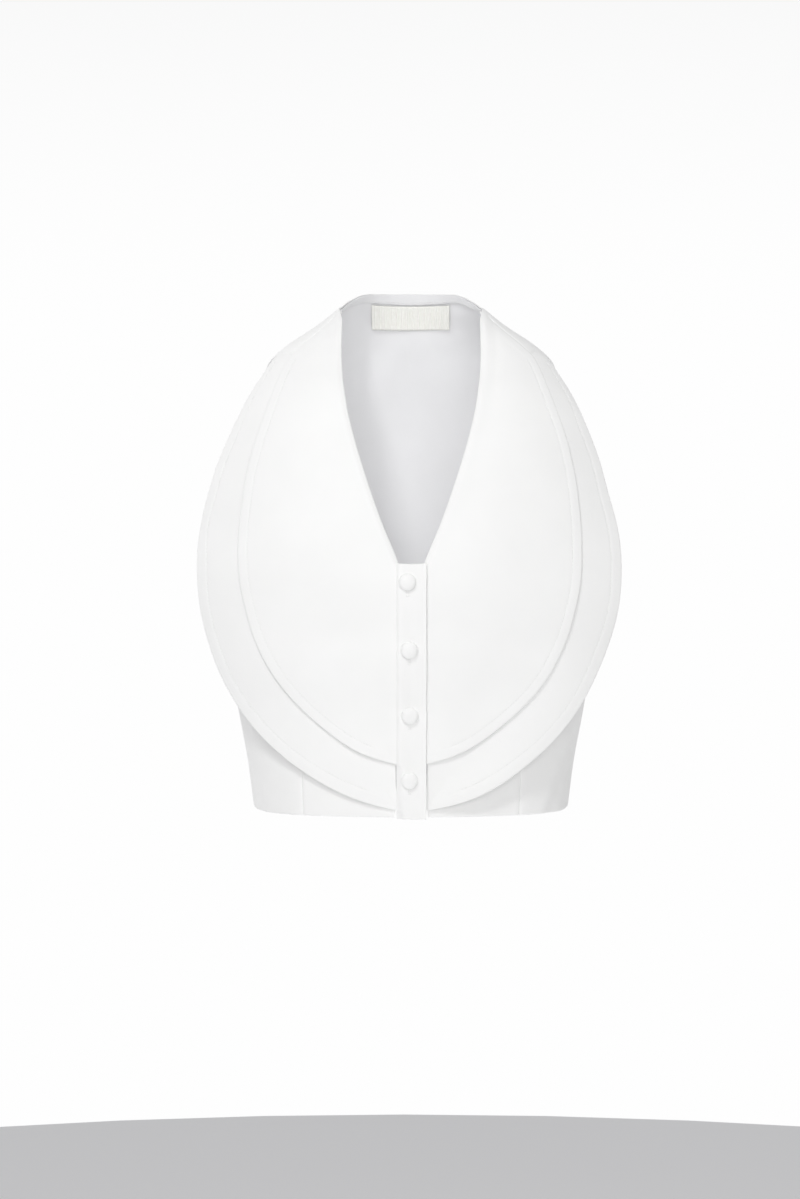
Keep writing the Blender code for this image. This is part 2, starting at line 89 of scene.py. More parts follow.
# %% [markdown]
# ## Two helpers for materials
#
# Colours are written as sRGB hex, the way a colour picker gives them, and shaders want linear light. One
# function turns one into the other. A second adds a node with its settings and its links in one line, so
# that a material reads from top to bottom.

# %% Colour and node helpers
def linear(hex_colour):
    """An sRGB hex colour as linear red, green, blue and alpha."""
    values = []
    for start in (1, 3, 5):
        share = int(hex_colour[start : start + 2], 16) / 255
        values.append(share / 12.92 if share <= 0.04045 else ((share + 0.055) / 1.055) ** 2.4)
    return (*values, 1.0)


def add_node(tree, kind, inputs=None, **settings):
    """Adds a node. An input is a value, or another node's output to link."""
    node = tree.nodes.new(kind)
    for name, value in settings.items():
        setattr(node, name, value)
    for socket, value in (inputs or {}).items():
        if isinstance(value, bpy.types.NodeSocket):
            tree.links.new(value, node.inputs[socket])
        else:
            node.inputs[socket].default_value = value
    return node


def empty_material(name):
    made = bpy.data.materials.new(name)
    made.use_nodes = True
    made.node_tree.nodes.clear()
    return made, made.node_tree


print("white crepe in linear light", [round(v, 3) for v in linear("#F4F4F3")])

# %% [markdown]
# ## Crepe suiting
#
# Crepe is woven from hard-twisted yarn, which shrinks unevenly and leaves a dry, pebbled face with hardly
# any shine. The eye gets a matt white with a faint grain, and a little soft light at grazing angles from the
# fibre ends. The weave and the pebbles follow the cloth, so they read each piece's own UV map, which is in
# metres. Real yarns lie about 0.3 mm apart. They are drawn at 0.7 mm, because finer ones would not show.

# %% Crepe
YARN_SPACING = 0.0007
PEBBLE_SIZE = 0.0013
SHADE_PATCH = 0.045
CREPE_SHEEN = 0.18


def crepe(name, light, shade, roughness=0.82):
    """White crepe between a light and a shade colour, with yarn and pebble relief."""
    made, tree = empty_material(name)
    cloth_map = add_node(tree, "ShaderNodeUVMap", uv_map="cloth").outputs["UV"]
    place = add_node(tree, "ShaderNodeTexCoord").outputs["Object"]
    weft = add_node(
        tree, "ShaderNodeTexWave",
        {"Vector": cloth_map, "Scale": math.tau / 20 / YARN_SPACING, "Distortion": 0.6},
        bands_direction="X",
    )
    warp = add_node(
        tree, "ShaderNodeTexWave",
        {"Vector": cloth_map, "Scale": math.tau / 20 / YARN_SPACING, "Distortion": 0.6},
        bands_direction="Y",
    )
    pebbles = add_node(
        tree, "ShaderNodeTexNoise",
        {"Vector": cloth_map, "Scale": 1 / PEBBLE_SIZE, "Detail": 3.0, "Roughness": 0.62},
    )
    yarns = add_node(
        tree, "ShaderNodeMath",
        {0: weft.outputs["Fac"], 1: warp.outputs["Fac"]}, operation="MULTIPLY",
    )
    relief = add_node(
        tree, "ShaderNodeMath",
        {0: yarns.outputs[0], 1: 0.45, 2: pebbles.outputs["Fac"]}, operation="MULTIPLY_ADD",
    )
    patches = add_node(
        tree, "ShaderNodeTexNoise", {"Vector": place, "Scale": 1 / SHADE_PATCH, "Detail": 2.0}
    )
    mottled = add_node(
        tree, "ShaderNodeMath",
        {0: pebbles.outputs["Fac"], 1: 0.5, 2: patches.outputs["Fac"]}, operation="MULTIPLY_ADD",
    )
    tone = add_node(
        tree, "ShaderNodeMapRange",
        {"Value": mottled.outputs[0], "From Min": 0.45, "From Max": 1.05},
    )
    colour = add_node(
        tree, "ShaderNodeMix",
        {"Factor": tone.outputs["Result"], "A": linear(shade), "B": linear(light)},
        data_type="RGBA",
    )
    bump = add_node(
        tree, "ShaderNodeBump", {"Height": relief.outputs[0], "Strength": 0.16, "Distance": 0.0004}
    )
    shader = add_node(
        tree, "ShaderNodeBsdfPrincipled",
        {
            "Base Color": colour.outputs["Result"],
            "Roughness": roughness,
            "IOR": 1.46,
            "Specular IOR Level": 0.3,
            "Sheen Weight": CREPE_SHEEN,
            "Sheen Roughness": 0.45,
            "Normal": bump.outputs["Normal"],
        },
    )
    add_node(tree, "ShaderNodeOutputMaterial", {"Surface": shader.outputs["BSDF"]})
    return made


outer_crepe = crepe("white_crepe_suiting", light="#F7F7F6", shade="#F4F4F3")
# A darker, cooler copy of the same crepe for the inside of the garment and the neck facing. It is painted
# shade: the real inside is as white as the outside.
shaded_inside_crepe = crepe("white_crepe_inside_painted_shade", light="#F0F0F1", shade="#ECECED", roughness=0.88)
button_crepe = crepe("crepe_drawn_over_buttons", light="#F7F7F6", shade="#F3F3F2", roughness=0.72)
print("crepe", outer_crepe.name, shaded_inside_crepe.name, button_crepe.name)

# %% [markdown]
# ## Thread and label weave
#
# Sewing thread is spun polyester: a smooth, slightly glossy twist. The label is a taffeta ribbon in ivory.
# Its warp ribs are real relief in the mesh, so its material only adds the fine cross threads.

# %% Thread and label weave
THREAD_TWIST = 0.0005
RIBBON_THREAD = 0.0005
SLUB_LENGTH = 0.003


def sewing_thread():
    made, tree = empty_material("spun_polyester_thread")
    place = add_node(tree, "ShaderNodeTexCoord").outputs["Object"]
    twist = add_node(
        tree, "ShaderNodeTexWave",
        {"Vector": place, "Scale": math.tau / 20 / THREAD_TWIST, "Distortion": 1.0},
        bands_direction="DIAGONAL",
    )
    colour = add_node(
        tree, "ShaderNodeMix",
        {"Factor": twist.outputs["Fac"], "A": linear("#E9E9E8"), "B": linear("#F6F6F5")},
        data_type="RGBA",
    )
    bump = add_node(
        tree, "ShaderNodeBump", {"Height": twist.outputs["Fac"], "Strength": 0.2, "Distance": 0.0001}
    )
    shader = add_node(
        tree, "ShaderNodeBsdfPrincipled",
        {
            "Base Color": colour.outputs["Result"],
            "Roughness": 0.5,
            "IOR": 1.54,
            "Normal": bump.outputs["Normal"],
        },
    )
    add_node(tree, "ShaderNodeOutputMaterial", {"Surface": shader.outputs["BSDF"]})
    return made


def ribbon_weave():
    made, tree = empty_material("ivory_taffeta_ribbon")
    cloth_map = add_node(tree, "ShaderNodeUVMap", uv_map="cloth").outputs["UV"]
    cross = add_node(
        tree, "ShaderNodeTexWave",
        {"Vector": cloth_map, "Scale": math.tau / 20 / RIBBON_THREAD, "Distortion": 0.8},
        bands_direction="Y",
    )
    slubs = add_node(
        tree, "ShaderNodeTexNoise", {"Vector": cloth_map, "Scale": 1 / SLUB_LENGTH, "Detail": 2.0}
    )
    tone = add_node(
        tree, "ShaderNodeMath",
        {0: cross.outputs["Fac"], 1: 0.4, 2: slubs.outputs["Fac"]}, operation="MULTIPLY_ADD",
    )
    colour = add_node(
        tree, "ShaderNodeMix",
        {"Factor": tone.outputs[0], "A": linear("#F0EFE7"), "B": linear("#FAFAF5")},
        data_type="RGBA",
    )
    bump = add_node(
        tree, "ShaderNodeBump", {"Height": cross.outputs["Fac"], "Strength": 0.25, "Distance": 0.0001}
    )
    shader = add_node(
        tree, "ShaderNodeBsdfPrincipled",
        {
            "Base Color": colour.outputs["Result"],
            "Roughness": 0.6,
            "IOR": 1.5,
            "Sheen Weight": 0.1,
            "Normal": bump.outputs["Normal"],
        },
    )
    add_node(tree, "ShaderNodeOutputMaterial", {"Surface": shader.outputs["BSDF"]})
    return made


thread = sewing_thread()
ribbon = ribbon_weave()
print("thread", thread.name, "label", ribbon.name)

# %% [markdown]
# ## The worn form
#
# A garment's shape in wear is a stack of rounded sections, like the rings of a dress form but hollow. Each
# row below is one level of it, in metres. A place on the form is an angle and a height: 90 degrees is the
# centre front, 0 the side and -90 the centre back. These are the sizes that the CAD walls were built from,
# so the cloth lands where they are.

# %% Sizes of the worn form
Section = namedtuple("Section", "height half_width front back flare")
FORM = (
    Section(0.0175, 0.0515, 0.0450, 0.0600, 0.0000),
    Section(0.0080, 0.0575, 0.0465, 0.0640, 0.0000),
    Section(-0.0020, 0.0622, 0.0480, 0.0690, 0.0000),
    Section(-0.0060, 0.0668, 0.0500, 0.0710, 0.0000),
    Section(-0.0150, 0.0777, 0.0525, 0.0750, 0.0002),
    Section(-0.0240, 0.0903, 0.0550, 0.0780, 0.0005),
    Section(-0.0325, 0.1037, 0.0575, 0.0810, 0.0010),
    Section(-0.0415, 0.1155, 0.0600, 0.0840, 0.0015),
    Section(-0.0500, 0.1243, 0.0640, 0.0860, 0.0020),
    Section(-0.0600, 0.1310, 0.0690, 0.0885, 0.0030),
    Section(-0.0800, 0.1415, 0.0800, 0.0940, 0.0060),
    Section(-0.1200, 0.1550, 0.0940, 0.1010, 0.0130),
    Section(-0.1800, 0.1620, 0.1080, 0.1040, 0.0260),
    Section(-0.2400, 0.1630, 0.1170, 0.1020, 0.0350),
    Section(-0.3000, 0.1595, 0.1120, 0.0970, 0.0320),
    Section(-0.3500, 0.1520, 0.1020, 0.0940, 0.0300),
    Section(-0.4000, 0.1425, 0.0970, 0.0930, 0.0320),
    Section(-0.4450, 0.1365, 0.0950, 0.0930, 0.0350),
)
ROUNDNESS = 2.2
FLARE_ANGLE = 65.0
HEM = -0.4415
CLOSE_LEVEL = -0.233

# %% [markdown]
# ## Edges and seams of the cut pieces
#
# The edges are short tables too: the neck edge as heights round the neck, the V edge and the princess seam
# as distances from the centre, the shoulder seam and armholes as stops on the form, and the free edges of
# the flap tiers as distances from the middle of an oval, as seen from the front.

# %% Edges of the pieces
EdgeRow = namedtuple("EdgeRow", "height x")
NeckRow = namedtuple("NeckRow", "angle height")
Stop = namedtuple("Stop", "angle height")
OvalRow = namedtuple("OvalRow", "direction lower_left lower_right upper_left upper_right")
NECK_EDGE = (
    NeckRow(-90.0, 0.0173),
    NeckRow(-47.0, 0.0156),
    NeckRow(-34.0, 0.0126),
    NeckRow(-23.5, 0.0078),
    NeckRow(-11.0, 0.0026),
    NeckRow(0.0, -0.0020),
    NeckRow(23.0, -0.0055),
)
V_EDGE = (
    EdgeRow(-0.0055, 0.0612),
    EdgeRow(-0.0140, 0.0605),
    EdgeRow(-0.0400, 0.0601),
    EdgeRow(-0.0600, 0.0592),
    EdgeRow(-0.0800, 0.0570),
    EdgeRow(-0.1000, 0.0538),
    EdgeRow(-0.1250, 0.0477),
    EdgeRow(-0.1500, 0.0402),
    EdgeRow(-0.1750, 0.0319),
    EdgeRow(-0.2000, 0.0226),
    EdgeRow(-0.2200, 0.0140),
    EdgeRow(-0.2330, 0.0090),
)
PRINCESS = (
    EdgeRow(-0.0370, 0.0918),
    EdgeRow(-0.1200, 0.0945),
    EdgeRow(-0.2350, 0.0962),
    EdgeRow(-0.3000, 0.0952),
    EdgeRow(-0.3920, 0.0936),
    EdgeRow(-0.4450, 0.0914),
)
SHOULDER_SEAM = (
    Stop(23.0, -0.0055),
    Stop(32.0, -0.0250),
    Stop(34.0, -0.0390),
    Stop(34.0, -0.0490),
)
TIER_SHOULDER = (
    Stop(28.0, -0.0430),
    Stop(14.0, -0.0430),
)
FRONT_ARMHOLE = (
    Stop(34.0, -0.0490),
    Stop(35.0, -0.0660),
    Stop(37.5, -0.0850),
    Stop(40.0, -0.1150),
    Stop(41.0, -0.1500),
    Stop(38.0, -0.1850),
    Stop(30.0, -0.2110),
    Stop(15.0, -0.2275),
    Stop(0.0, -0.2330),
)
BACK_ARMHOLE = (
    Stop(34.0, -0.0490),
    Stop(23.0, -0.0448),
    Stop(6.0, -0.0470),
    Stop(-14.0, -0.0680),
    Stop(-29.0, -0.1010),
    Stop(-37.0, -0.1430),
    Stop(-35.0, -0.1800),
    Stop(-27.0, -0.2090),
    Stop(-14.0, -0.2275),
    Stop(0.0, -0.2330),
)
OVAL_MIDDLE = -0.225
OVAL = (
    OvalRow(52.0, 0.2078, 0.2074, 0.1890, 0.1885),
    OvalRow(45.0, 0.1994, 0.1986, 0.1757, 0.1760),
    OvalRow(37.0, 0.1909, 0.1896, 0.1652, 0.1658),
    OvalRow(30.0, 0.1861, 0.1847, 0.1582, 0.1584),
    OvalRow(15.0, 0.1820, 0.1780, 0.1487, 0.1475),
    OvalRow(0.0, 0.1826, 0.1778, 0.1459, 0.1430),
    OvalRow(-15.0, 0.1850, 0.1801, 0.1454, 0.1429),
    OvalRow(-30.0, 0.1896, 0.1828, 0.1485, 0.1466),
    OvalRow(-45.0, 0.1948, 0.1899, 0.1523, 0.1511),
    OvalRow(-60.0, 0.1994, 0.1975, 0.1580, 0.1573),
    OvalRow(-75.0, 0.2058, 0.2065, 0.1671, 0.1669),
    OvalRow(-87.5, 0.2110, 0.2112, 0.1725, 0.1722),
)

# %% [markdown]
# ## Layers
#
# Cloth on cloth is a matter of layers: each sheet lies its own small step outside the one below. At the
# shoulder the front pieces are tucked down by all the steps, so that the topmost one meets the back there.

# %% Layers and walls
BODY_WALL = 0.0012
TIER_WALL = 0.0015
LAYER_GAP = 0.0006
LOWER_LAYER = LAYER_GAP + TIER_WALL
UPPER_LAYER = 2 * LOWER_LAYER
TUCK_FOOT = -0.130
TUCK_HEAD = -0.055
SEAM_LAP = 0.14
SIDE_LAP = 0.12
PRINCESS_LAP = 0.0006
FRONT_EDGE = 0.0090

Lay = namedtuple("Lay", "away flare tuck")
BACK = Lay(0.0, 0, 0)
FRONT = Lay(0.0, 0, 1)
FACING = Lay(-0.0018, 0, 0)
LABEL = Lay(-0.0029, 0, 0)

# %% [markdown]
# ## Reading a table smoothly
#
# Between two rows of a table the value should rise smoothly and never swing past either row. A cubic whose
# slopes are the harmonic mean of the steps on both sides does that.

# %% Smooth tables
class Table:
    """Smooth values between a table's rows, with no overshoot, read by the first column."""

    def __init__(self, rows):
        self.kind = type(rows[0])
        self.rows = sorted(rows)
        self.keys = [row[0] for row in self.rows]
        self.slopes = [self.row_slopes(index) for index in range(len(self.rows))]

    def step_slope(self, index, column):
        low, high = self.rows[index], self.rows[index + 1]
        return (high[column] - low[column]) / (high[0] - low[0])

    def row_slopes(self, index):
        slopes = []
        for column in range(len(self.rows[0])):
            before = self.step_slope(max(index - 1, 0), column)
            after = self.step_slope(min(index, len(self.rows) - 2), column)
            flat = before * after <= 0
            slopes.append(0.0 if flat else 2 * before * after / (before + after))
        return slopes

    def at(self, key):
        key = min(max(key, self.keys[0]), self.keys[-1])
        index = 0
        while index < len(self.keys) - 2 and key > self.keys[index + 1]:
            index += 1
        low, high = self.rows[index], self.rows[index + 1]
        step = high[0] - low[0]
        t = (key - low[0]) / step
        values = []
        for column in range(len(low)):
            rise = self.slopes[index][column] * step
            fall = self.slopes[index + 1][column] * step
            change = high[column] - low[column]
            cubic = (rise + fall - 2 * change) * t**3 + (3 * change - 2 * rise - fall) * t**2
            values.append(low[column] + rise * t + cubic)
        return self.kind(*values)


form_table = Table(FORM)
neck_table = Table(NECK_EDGE)
v_table = Table(V_EDGE)
princess_table = Table(PRINCESS)
oval_table = Table(OVAL)


@functools.lru_cache(maxsize=None)
def section(height):
    return form_table.at(height)


print("form at the bust", section(-0.24))

# %% [markdown]
# ## Points on the form
#
# A section is a squarish oval, a superellipse. A sheet's point starts on it and is then moved out along the
# form's own normal, which comes from two short steps round and up. Everything that follows, from creases to
# stitches, is a change in how far out a point is moved.

# %% Points on the form
def mix(start, end, share):
    return start + (end - start) * share


def ease(value):
    """0 up to 0, 1 from 1 on, and a smooth rise between."""
    value = min(max(value, 0.0), 1.0)
    return value * value * (3 - 2 * value)


def signed_power(value, power):
    return math.copysign(abs(value) ** power, value)


def form_point(angle, height, flare):
    """A point of the worn form. Flare is 0 for the vest and 1 for the tiers, which stand wider."""
    rows = section(height)
    turn = math.radians(angle)
    power = 2 / ROUNDNESS
    outward = min(max(90.0 - angle, 0.0) / FLARE_ANGLE, 1.0) ** 2
    depth = rows.front if angle > 0 else rows.back
    x = (rows.half_width + flare * rows.flare * outward) * signed_power(math.cos(turn), power)
    return Vector((x, -depth * signed_power(math.sin(turn), power), height))


def form_normal(angle, height, flare):
    turn, rise = 0.5, 0.0005
    around = form_point(angle + turn, height, flare) - form_point(angle - turn, height, flare)
    up = form_point(angle, height + rise, flare) - form_point(angle, height - rise, flare)
    return up.cross(around).normalized()


def moved_out(angle, height, lay, more=0.0):
    """The form's point at this angle and height, moved along its normal to where a sheet lies."""
    tuck = lay.tuck * UPPER_LAYER * ease((height - TUCK_FOOT) / (TUCK_HEAD - TUCK_FOOT))
    away = lay.away + more - tuck
    return form_point(angle, height, lay.flare) + away * form_normal(angle, height, lay.flare)


def angle_of(x, height, lay, more=0.0):
    """The angle on the front at which a sheet is x from the centre."""
    low, high = 0.0, 90.0
    for _ in range(22):
        middle = (low + high) / 2
        if moved_out(middle, height, lay, more).x > x:
            low = middle
        else:
            high = middle
    return (low + high) / 2


# %% [markdown]
# ## Lines on the form
#
# An edge is a line of stops. A path measures how far it is from stop to stop, so that it can be read by the
# share of its length, and grid rows are spaced evenly along it.

# %% Paths
class Path:
    """A line on the form through (angle, height) stops, read by the share of its length walked."""

    def __init__(self, stops, lay):
        self.stops = [tuple(stop) for stop in stops]
        points = [moved_out(angle, height, lay) for angle, height in self.stops]
        self.walked = [0.0]
        for start, end in zip(points, points[1:]):
            self.walked.append(self.walked[-1] + (end - start).length)

    def at(self, share):
        goal = share * self.walked[-1]
        index = 0
        while index < len(self.walked) - 2 and goal > self.walked[index + 1]:
            index += 1
        t = (goal - self.walked[index]) / (self.walked[index + 1] - self.walked[index])
        start, end = self.stops[index], self.stops[index + 1]
        return mix(start[0], end[0], t), mix(start[1], end[1], t)


def rounded(stops, steps=12):
    """The same stops with a smooth curve between them."""
    ends = [stops[0], *stops, stops[-1]]
    found = [tuple(stops[0])]
    for index in range(len(stops) - 1):
        before, start, end, after = ends[index : index + 4]
        for step in range(1, steps + 1):
            t = step / steps
            pair = []
            for column in range(2):
                leave = (end[column] - before[column]) / 2
                arrive = (after[column] - start[column]) / 2
                change = end[column] - start[column]
                cubic = (leave + arrive - 2 * change) * t**3
                square = (3 * change - 2 * leave - arrive) * t**2
                pair.append(start[column] + leave * t + square + cubic)
            found.append(tuple(pair))
    return found


def shifted(stops, angle):
    return [(stop[0] + angle, stop[1]) for stop in stops]


def heights(top, bottom, count):
    return [mix(top, bottom, index / count) for index in range(count + 1)]


seam_line = rounded(SHOULDER_SEAM)
V_START_ANGLE = SHOULDER_SEAM[0].angle - SEAM_LAP
V_SAMPLES = 80


def v_edge_stops(lay):
    """The V edge of a sheet, from the shoulder seam down to the top of the placket."""
    stops = [(V_START_ANGLE, V_EDGE[0].height)]
    for height in heights(V_EDGE[0].height, CLOSE_LEVEL, V_SAMPLES)[3:]:
        stops.append((angle_of(v_table.at(height).x, height, lay), height))
    return stops


print("shoulder seam, metres", round(Path(seam_line, BACK).walked[-1], 4))

# %% [markdown]
# ## Creases
#
# Worn cloth is never quite smooth. A few long waves run over every layer alike, because the layers lie on
# each other. Then each crease is one row: where it starts and ends, how wide it is and how deep. A turn is
# the angle round the body from the centre front, so 90 is the side at the viewer's right and 180 the centre
# back. Depths below nought are valleys.

# %% Waves and creases
Wave = namedtuple("Wave", "times_round per_metre phase depth")
WAVES = (
    Wave(2, 3.1, 0.4, 0.00040),
    Wave(5, 5.7, 1.9, 0.00022),
    Wave(9, 2.3, 4.1, 0.00015),
)
Crease = namedtuple("Crease", "cloth turn height end_turn end_height width depth")
CREASES = (
    Crease("all", -33, -0.298, -7, -0.280, 0.0150, -0.0017),
    Crease("all", 8, -0.280, 32, -0.300, 0.0150, -0.0017),
    Crease("body", 60, -0.441, 76, -0.372, 0.0055, -0.0020),
    Crease("body", 53, -0.438, 66, -0.372, 0.0055, 0.0012),
    Crease("body", -70, -0.441, -76, -0.340, 0.0090, -0.0014),
    Crease("body", 84, -0.300, 118, -0.322, 0.0090, -0.0022),
    Crease("body", -82, -0.306, -121, -0.318, 0.0095, -0.0022),
    Crease("body", 96, -0.345, 138, -0.352, 0.0078, -0.0018),
    Crease("body", -98, -0.340, -142, -0.356, 0.0080, -0.0018),
    Crease("body", 128, -0.150, 152, -0.250, 0.0105, -0.0026),
    Crease("body", -130, -0.156, -149, -0.262, 0.0110, -0.0026),
    Crease("body", 166, -0.270, 172, -0.430, 0.0120, -0.0024),
    Crease("body", -163, -0.255, -170, -0.425, 0.0120, -0.0026),
    Crease("body", 146, -0.300, 151, -0.435, 0.0100, 0.0018),
    Crease("body", -144, -0.310, -150, -0.436, 0.0100, 0.0018),
    Crease("body", 175, -0.030, 160, -0.120, 0.0120, -0.0018),
    Crease("body", -175, -0.034, -159, -0.126, 0.0120, -0.0018),
    Crease("upper", 24, -0.110, 33, -0.235, 0.0180, -0.0006),
    Crease("upper", -22, -0.120, -31, -0.240, 0.0180, -0.0006),
)
METRES_PER_TURN_DEGREE = 0.0024


def crease_lift(crease, turn, height):
    """How far one crease moves the cloth out at a place."""
    across = (turn - crease.turn) * METRES_PER_TURN_DEGREE
    down = height - crease.height
    run = (crease.end_turn - crease.turn) * METRES_PER_TURN_DEGREE
    fall = crease.end_height - crease.height
    length = math.hypot(run, fall)
    along = (across * run + down * fall) / length
    aside = (across * fall - down * run) / length
    past = max(-along, along - length, 0.0)
    return crease.depth * math.exp(-((aside / crease.width) ** 2) - (past / crease.width) ** 2)


def creases_of(cloth):
    return [crease for crease in CREASES if crease.cloth in ("all", cloth)]


def unevenness(creases, turn, height):
    lift = 0.0
    for wave in WAVES:
        round_share = math.sin(wave.times_round * math.radians(turn) + wave.phase)
        lift += wave.depth * round_share * math.cos(math.tau * wave.per_metre * height + wave.phase)
    for crease in creases:
        lift += crease_lift(crease, turn, height)
    return lift


def cloth_point(creases, side, angle, height, lay, more=0.0):
    """A sheet's point with its own unevenness. Side is 1 at the viewer's right and -1 at the left."""
    turn = side * (90.0 - angle)
    point = moved_out(angle, height, lay, more + unevenness(creases, turn, height))
    return Vector((side * point.x, point.y, point.z))


print(len(WAVES), "waves and", len(CREASES), "creases")

# %% [markdown]
# ## From a grid to a piece of cloth
#
# Every sheet starts as Blender's own flat grid. A place function says where each column and row goes. The
# helper measures the laid grid to give it a UV map in metres, which is close to the flat cut, and Solidify
# and one level of Subdivision Surface give it a wall with softly rounded edges.

# %% Making a sheet
Measured = namedtuple("Measured", "width length area")
measured = {}


def mesh_object(name, bm, finish):
    """Links a bmesh as an object that rides on the body."""
    mesh = bpy.data.meshes.new(name)
    bm.to_mesh(mesh)
    bm.free()
    mesh.shade_smooth()
    mesh.materials.append(finish)
    made = bpy.data.objects.new(name, mesh)
    bpy.context.scene.collection.objects.link(made)
    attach(made, "root")
    return made


def map_cloth(bm, grid):
    """Maps a laid grid in metres: along each row from its middle, and down the middle column.

    Gives the width of the widest row and the length of the middle column.
    """
    cloth_map = bm.loops.layers.uv["cloth"]
    middle = len(grid[0]) // 2
    place = {}
    down, widest = 0.0, 0.0
    for index, row in enumerate(grid):
        if index:
            down -= (row[middle].co - grid[index - 1][middle].co).length
        walked = [0.0]
        for start, end in zip(row, row[1:]):
            walked.append(walked[-1] + (end.co - start.co).length)
        widest = max(widest, walked[-1])
        for vertex, across in zip(row, walked):
            place[vertex] = (across - walked[middle], down)
    for face in bm.faces:
        for loop in face.loops:
            loop[cloth_map].uv = place[loop.vert]
    return widest, -down


def lay_sheet(name, columns, rows, place, wall, finish, facing=1, thinner=None, inside=None):
    """A grid of cloth. Place gives the point for a column and a row, and facing 1 faces it outwards.

    Inside is the material of its inner side, where that shows: here a darker copy of the crepe, which is
    painted shade.
    """
    bm = bmesh.new()
    bmesh.ops.create_grid(bm, x_segments=columns, y_segments=rows, size=0.5)
    group = bm.verts.layers.deform.verify()
    bm.loops.layers.uv.new("cloth")
    grid = [[None] * (columns + 1) for _ in range(rows + 1)]
    for vertex in bm.verts:
        column = round((vertex.co.x + 0.5) * columns)
        row = round((0.5 - vertex.co.y) * rows)
        grid[row][column] = vertex
    for row, line in enumerate(grid):
        for column, vertex in enumerate(line):
            vertex.co = place(column, row)
    width, length = map_cloth(bm, grid)
    for row, line in enumerate(grid):
        for column, vertex in enumerate(line):
            vertex[group][0] = thinner(column, row) if thinner else 1.0
    bmesh.ops.remove_doubles(bm, verts=bm.verts, dist=0.00002)
    bm.normal_update()
    outward = sum(
        face.calc_area() * face.normal.xy.dot(face.calc_center_median().xy) for face in bm.faces
    )
    if outward * facing < 0:
        bmesh.ops.reverse_faces(bm, faces=bm.faces)
    measured[name] = Measured(width, length, sum(face.calc_area() for face in bm.faces))
    made = mesh_object(name, bm, finish)
    made.vertex_groups.new(name="wall")
    thick = made.modifiers.new("wall", "SOLIDIFY")
    thick.thickness = wall
    thick.offset = -1.0
    thick.use_quality_normals = True
    thick.vertex_group = "wall"
    if inside:
        made.data.materials.append(inside)
        thick.material_offset = 1
    smooth = made.modifiers.new("rounded edges", "SUBSURF")
    smooth.levels = 1
    smooth.render_levels = 1
    return made


def crowded_ends(count):
    """Shares from 0 to 1 that lie closer together near both ends."""
    return [(1 - math.cos(math.pi * index / count)) / 2 for index in range(count + 1)]


# %% [markdown]
# ## Seams
#
# Two pieces sewn right sides together and pressed open leave a fine groove on the outside. The cloth turns
# down into it over the last two millimetres, and each piece laps the seam by a hair, so that no light gets
# through. On each side of the groove the seam allowance under the cloth raises it by less than a card's
# thickness.

# %% Seam shape
SEAM_DEPTH = 0.0007
SEAM_REACH = 0.0022
ALLOWANCE = 0.0100
ALLOWANCE_RISE = 0.00018


def seam_dip(distance):
    """How far the cloth is moved out at a distance from a pressed seam."""
    groove = -SEAM_DEPTH * (1 - ease(distance / SEAM_REACH))
    return groove + ALLOWANCE_RISE * (1 - ease((distance - ALLOWANCE) / SEAM_REACH))


# %% [markdown]
# ## How the vest panels are laid
#
# A vest panel has a curved edge on all four sides. Above the underarm its inside is blended from those four
# edges, as a boat builder fairs the skin of a hull. Below the underarm the rows are level down to the hem.

# %% Panel layout
UPPER_SHARE = 13 / 19
ROW_CROWDING = 1.3
HEM_RISE = 0.0030
HEM_RISE_ANGLE = 13.0


def hem_rise(angle):
    """The hem curves up a little at the side seams."""
    return HEM_RISE * math.exp(-((angle / HEM_RISE_ANGLE) ** 2))


def blended(top, inner, outer, low_inner, low_outer):
    """(angle, height) for the shares across and down a vest panel."""

    def pair_at(across, down):
        if down > UPPER_SHARE:
            share = (down - UPPER_SHARE) / (1 - UPPER_SHARE)
            height = mix(CLOSE_LEVEL, HEM, share)
            angle = mix(low_inner(height), low_outer(height), across)
            return angle, height + share * hem_rise(angle)
        v = (down / UPPER_SHARE) ** ROW_CROWDING
        left, right = inner(v), outer(v)
        corners = inner(0.0), outer(0.0), inner(1.0), outer(1.0)
        pair = []
        for column in range(2):
            base = mix(corners[2][column], corners[3][column], across)
            ruled = mix(top(across)[column], base, v)
            crossed = mix(left[column], right[column], across)
            upper = mix(corners[0][column], corners[1][column], across)
            pair.append(ruled + crossed - mix(upper, base, v))
        return tuple(pair)

    return pair_at


def armhole_path(stops, way, lay):
    """An armhole's edge, with the seam slits at its ends."""
    line = shifted(rounded(stops), -way * SEAM_LAP)
    return Path([*line[:-1], (-way * SIDE_LAP, CLOSE_LEVEL)], lay)


def spread(count, evenness):
    """Shares from 0 to 1, closer together near both ends, and less so with more evenness."""
    return [mix(share, index / count, evenness) for index, share in enumerate(crowded_ends(count))]


def panel_rows(upper, lower):
    """Shares down a panel. Rows lie closer at the top, at the underarm and at the hem."""
    above = [UPPER_SHARE * share for share in spread(upper, 0.35)]
    below = [mix(UPPER_SHARE, 1.0, share) for share in spread(lower, 0.35)]
    return above + below[1:]


# %% [markdown]
# ## The back
#
# The back is one piece cut on the fold. Its inner side is what the photograph shows through the V neck, and
# its outer side is plain, with soft folds running down from the shoulder blades to the waist.

# %% Back
BACK_COLUMNS = 42
BACK_UPPER_ROWS = 50
BACK_LOWER_ROWS = 30
NECK_SHARE = 10 / 14
SHOULDER_END_DIP = 0.0018
SHOULDER_END_REACH = 0.0045
SHOULDER_END_SHARE = 0.10
SHOULDER_END_FADE = 0.05
NECK_POINT_FADE = 0.03
NECK_SAMPLES = 80


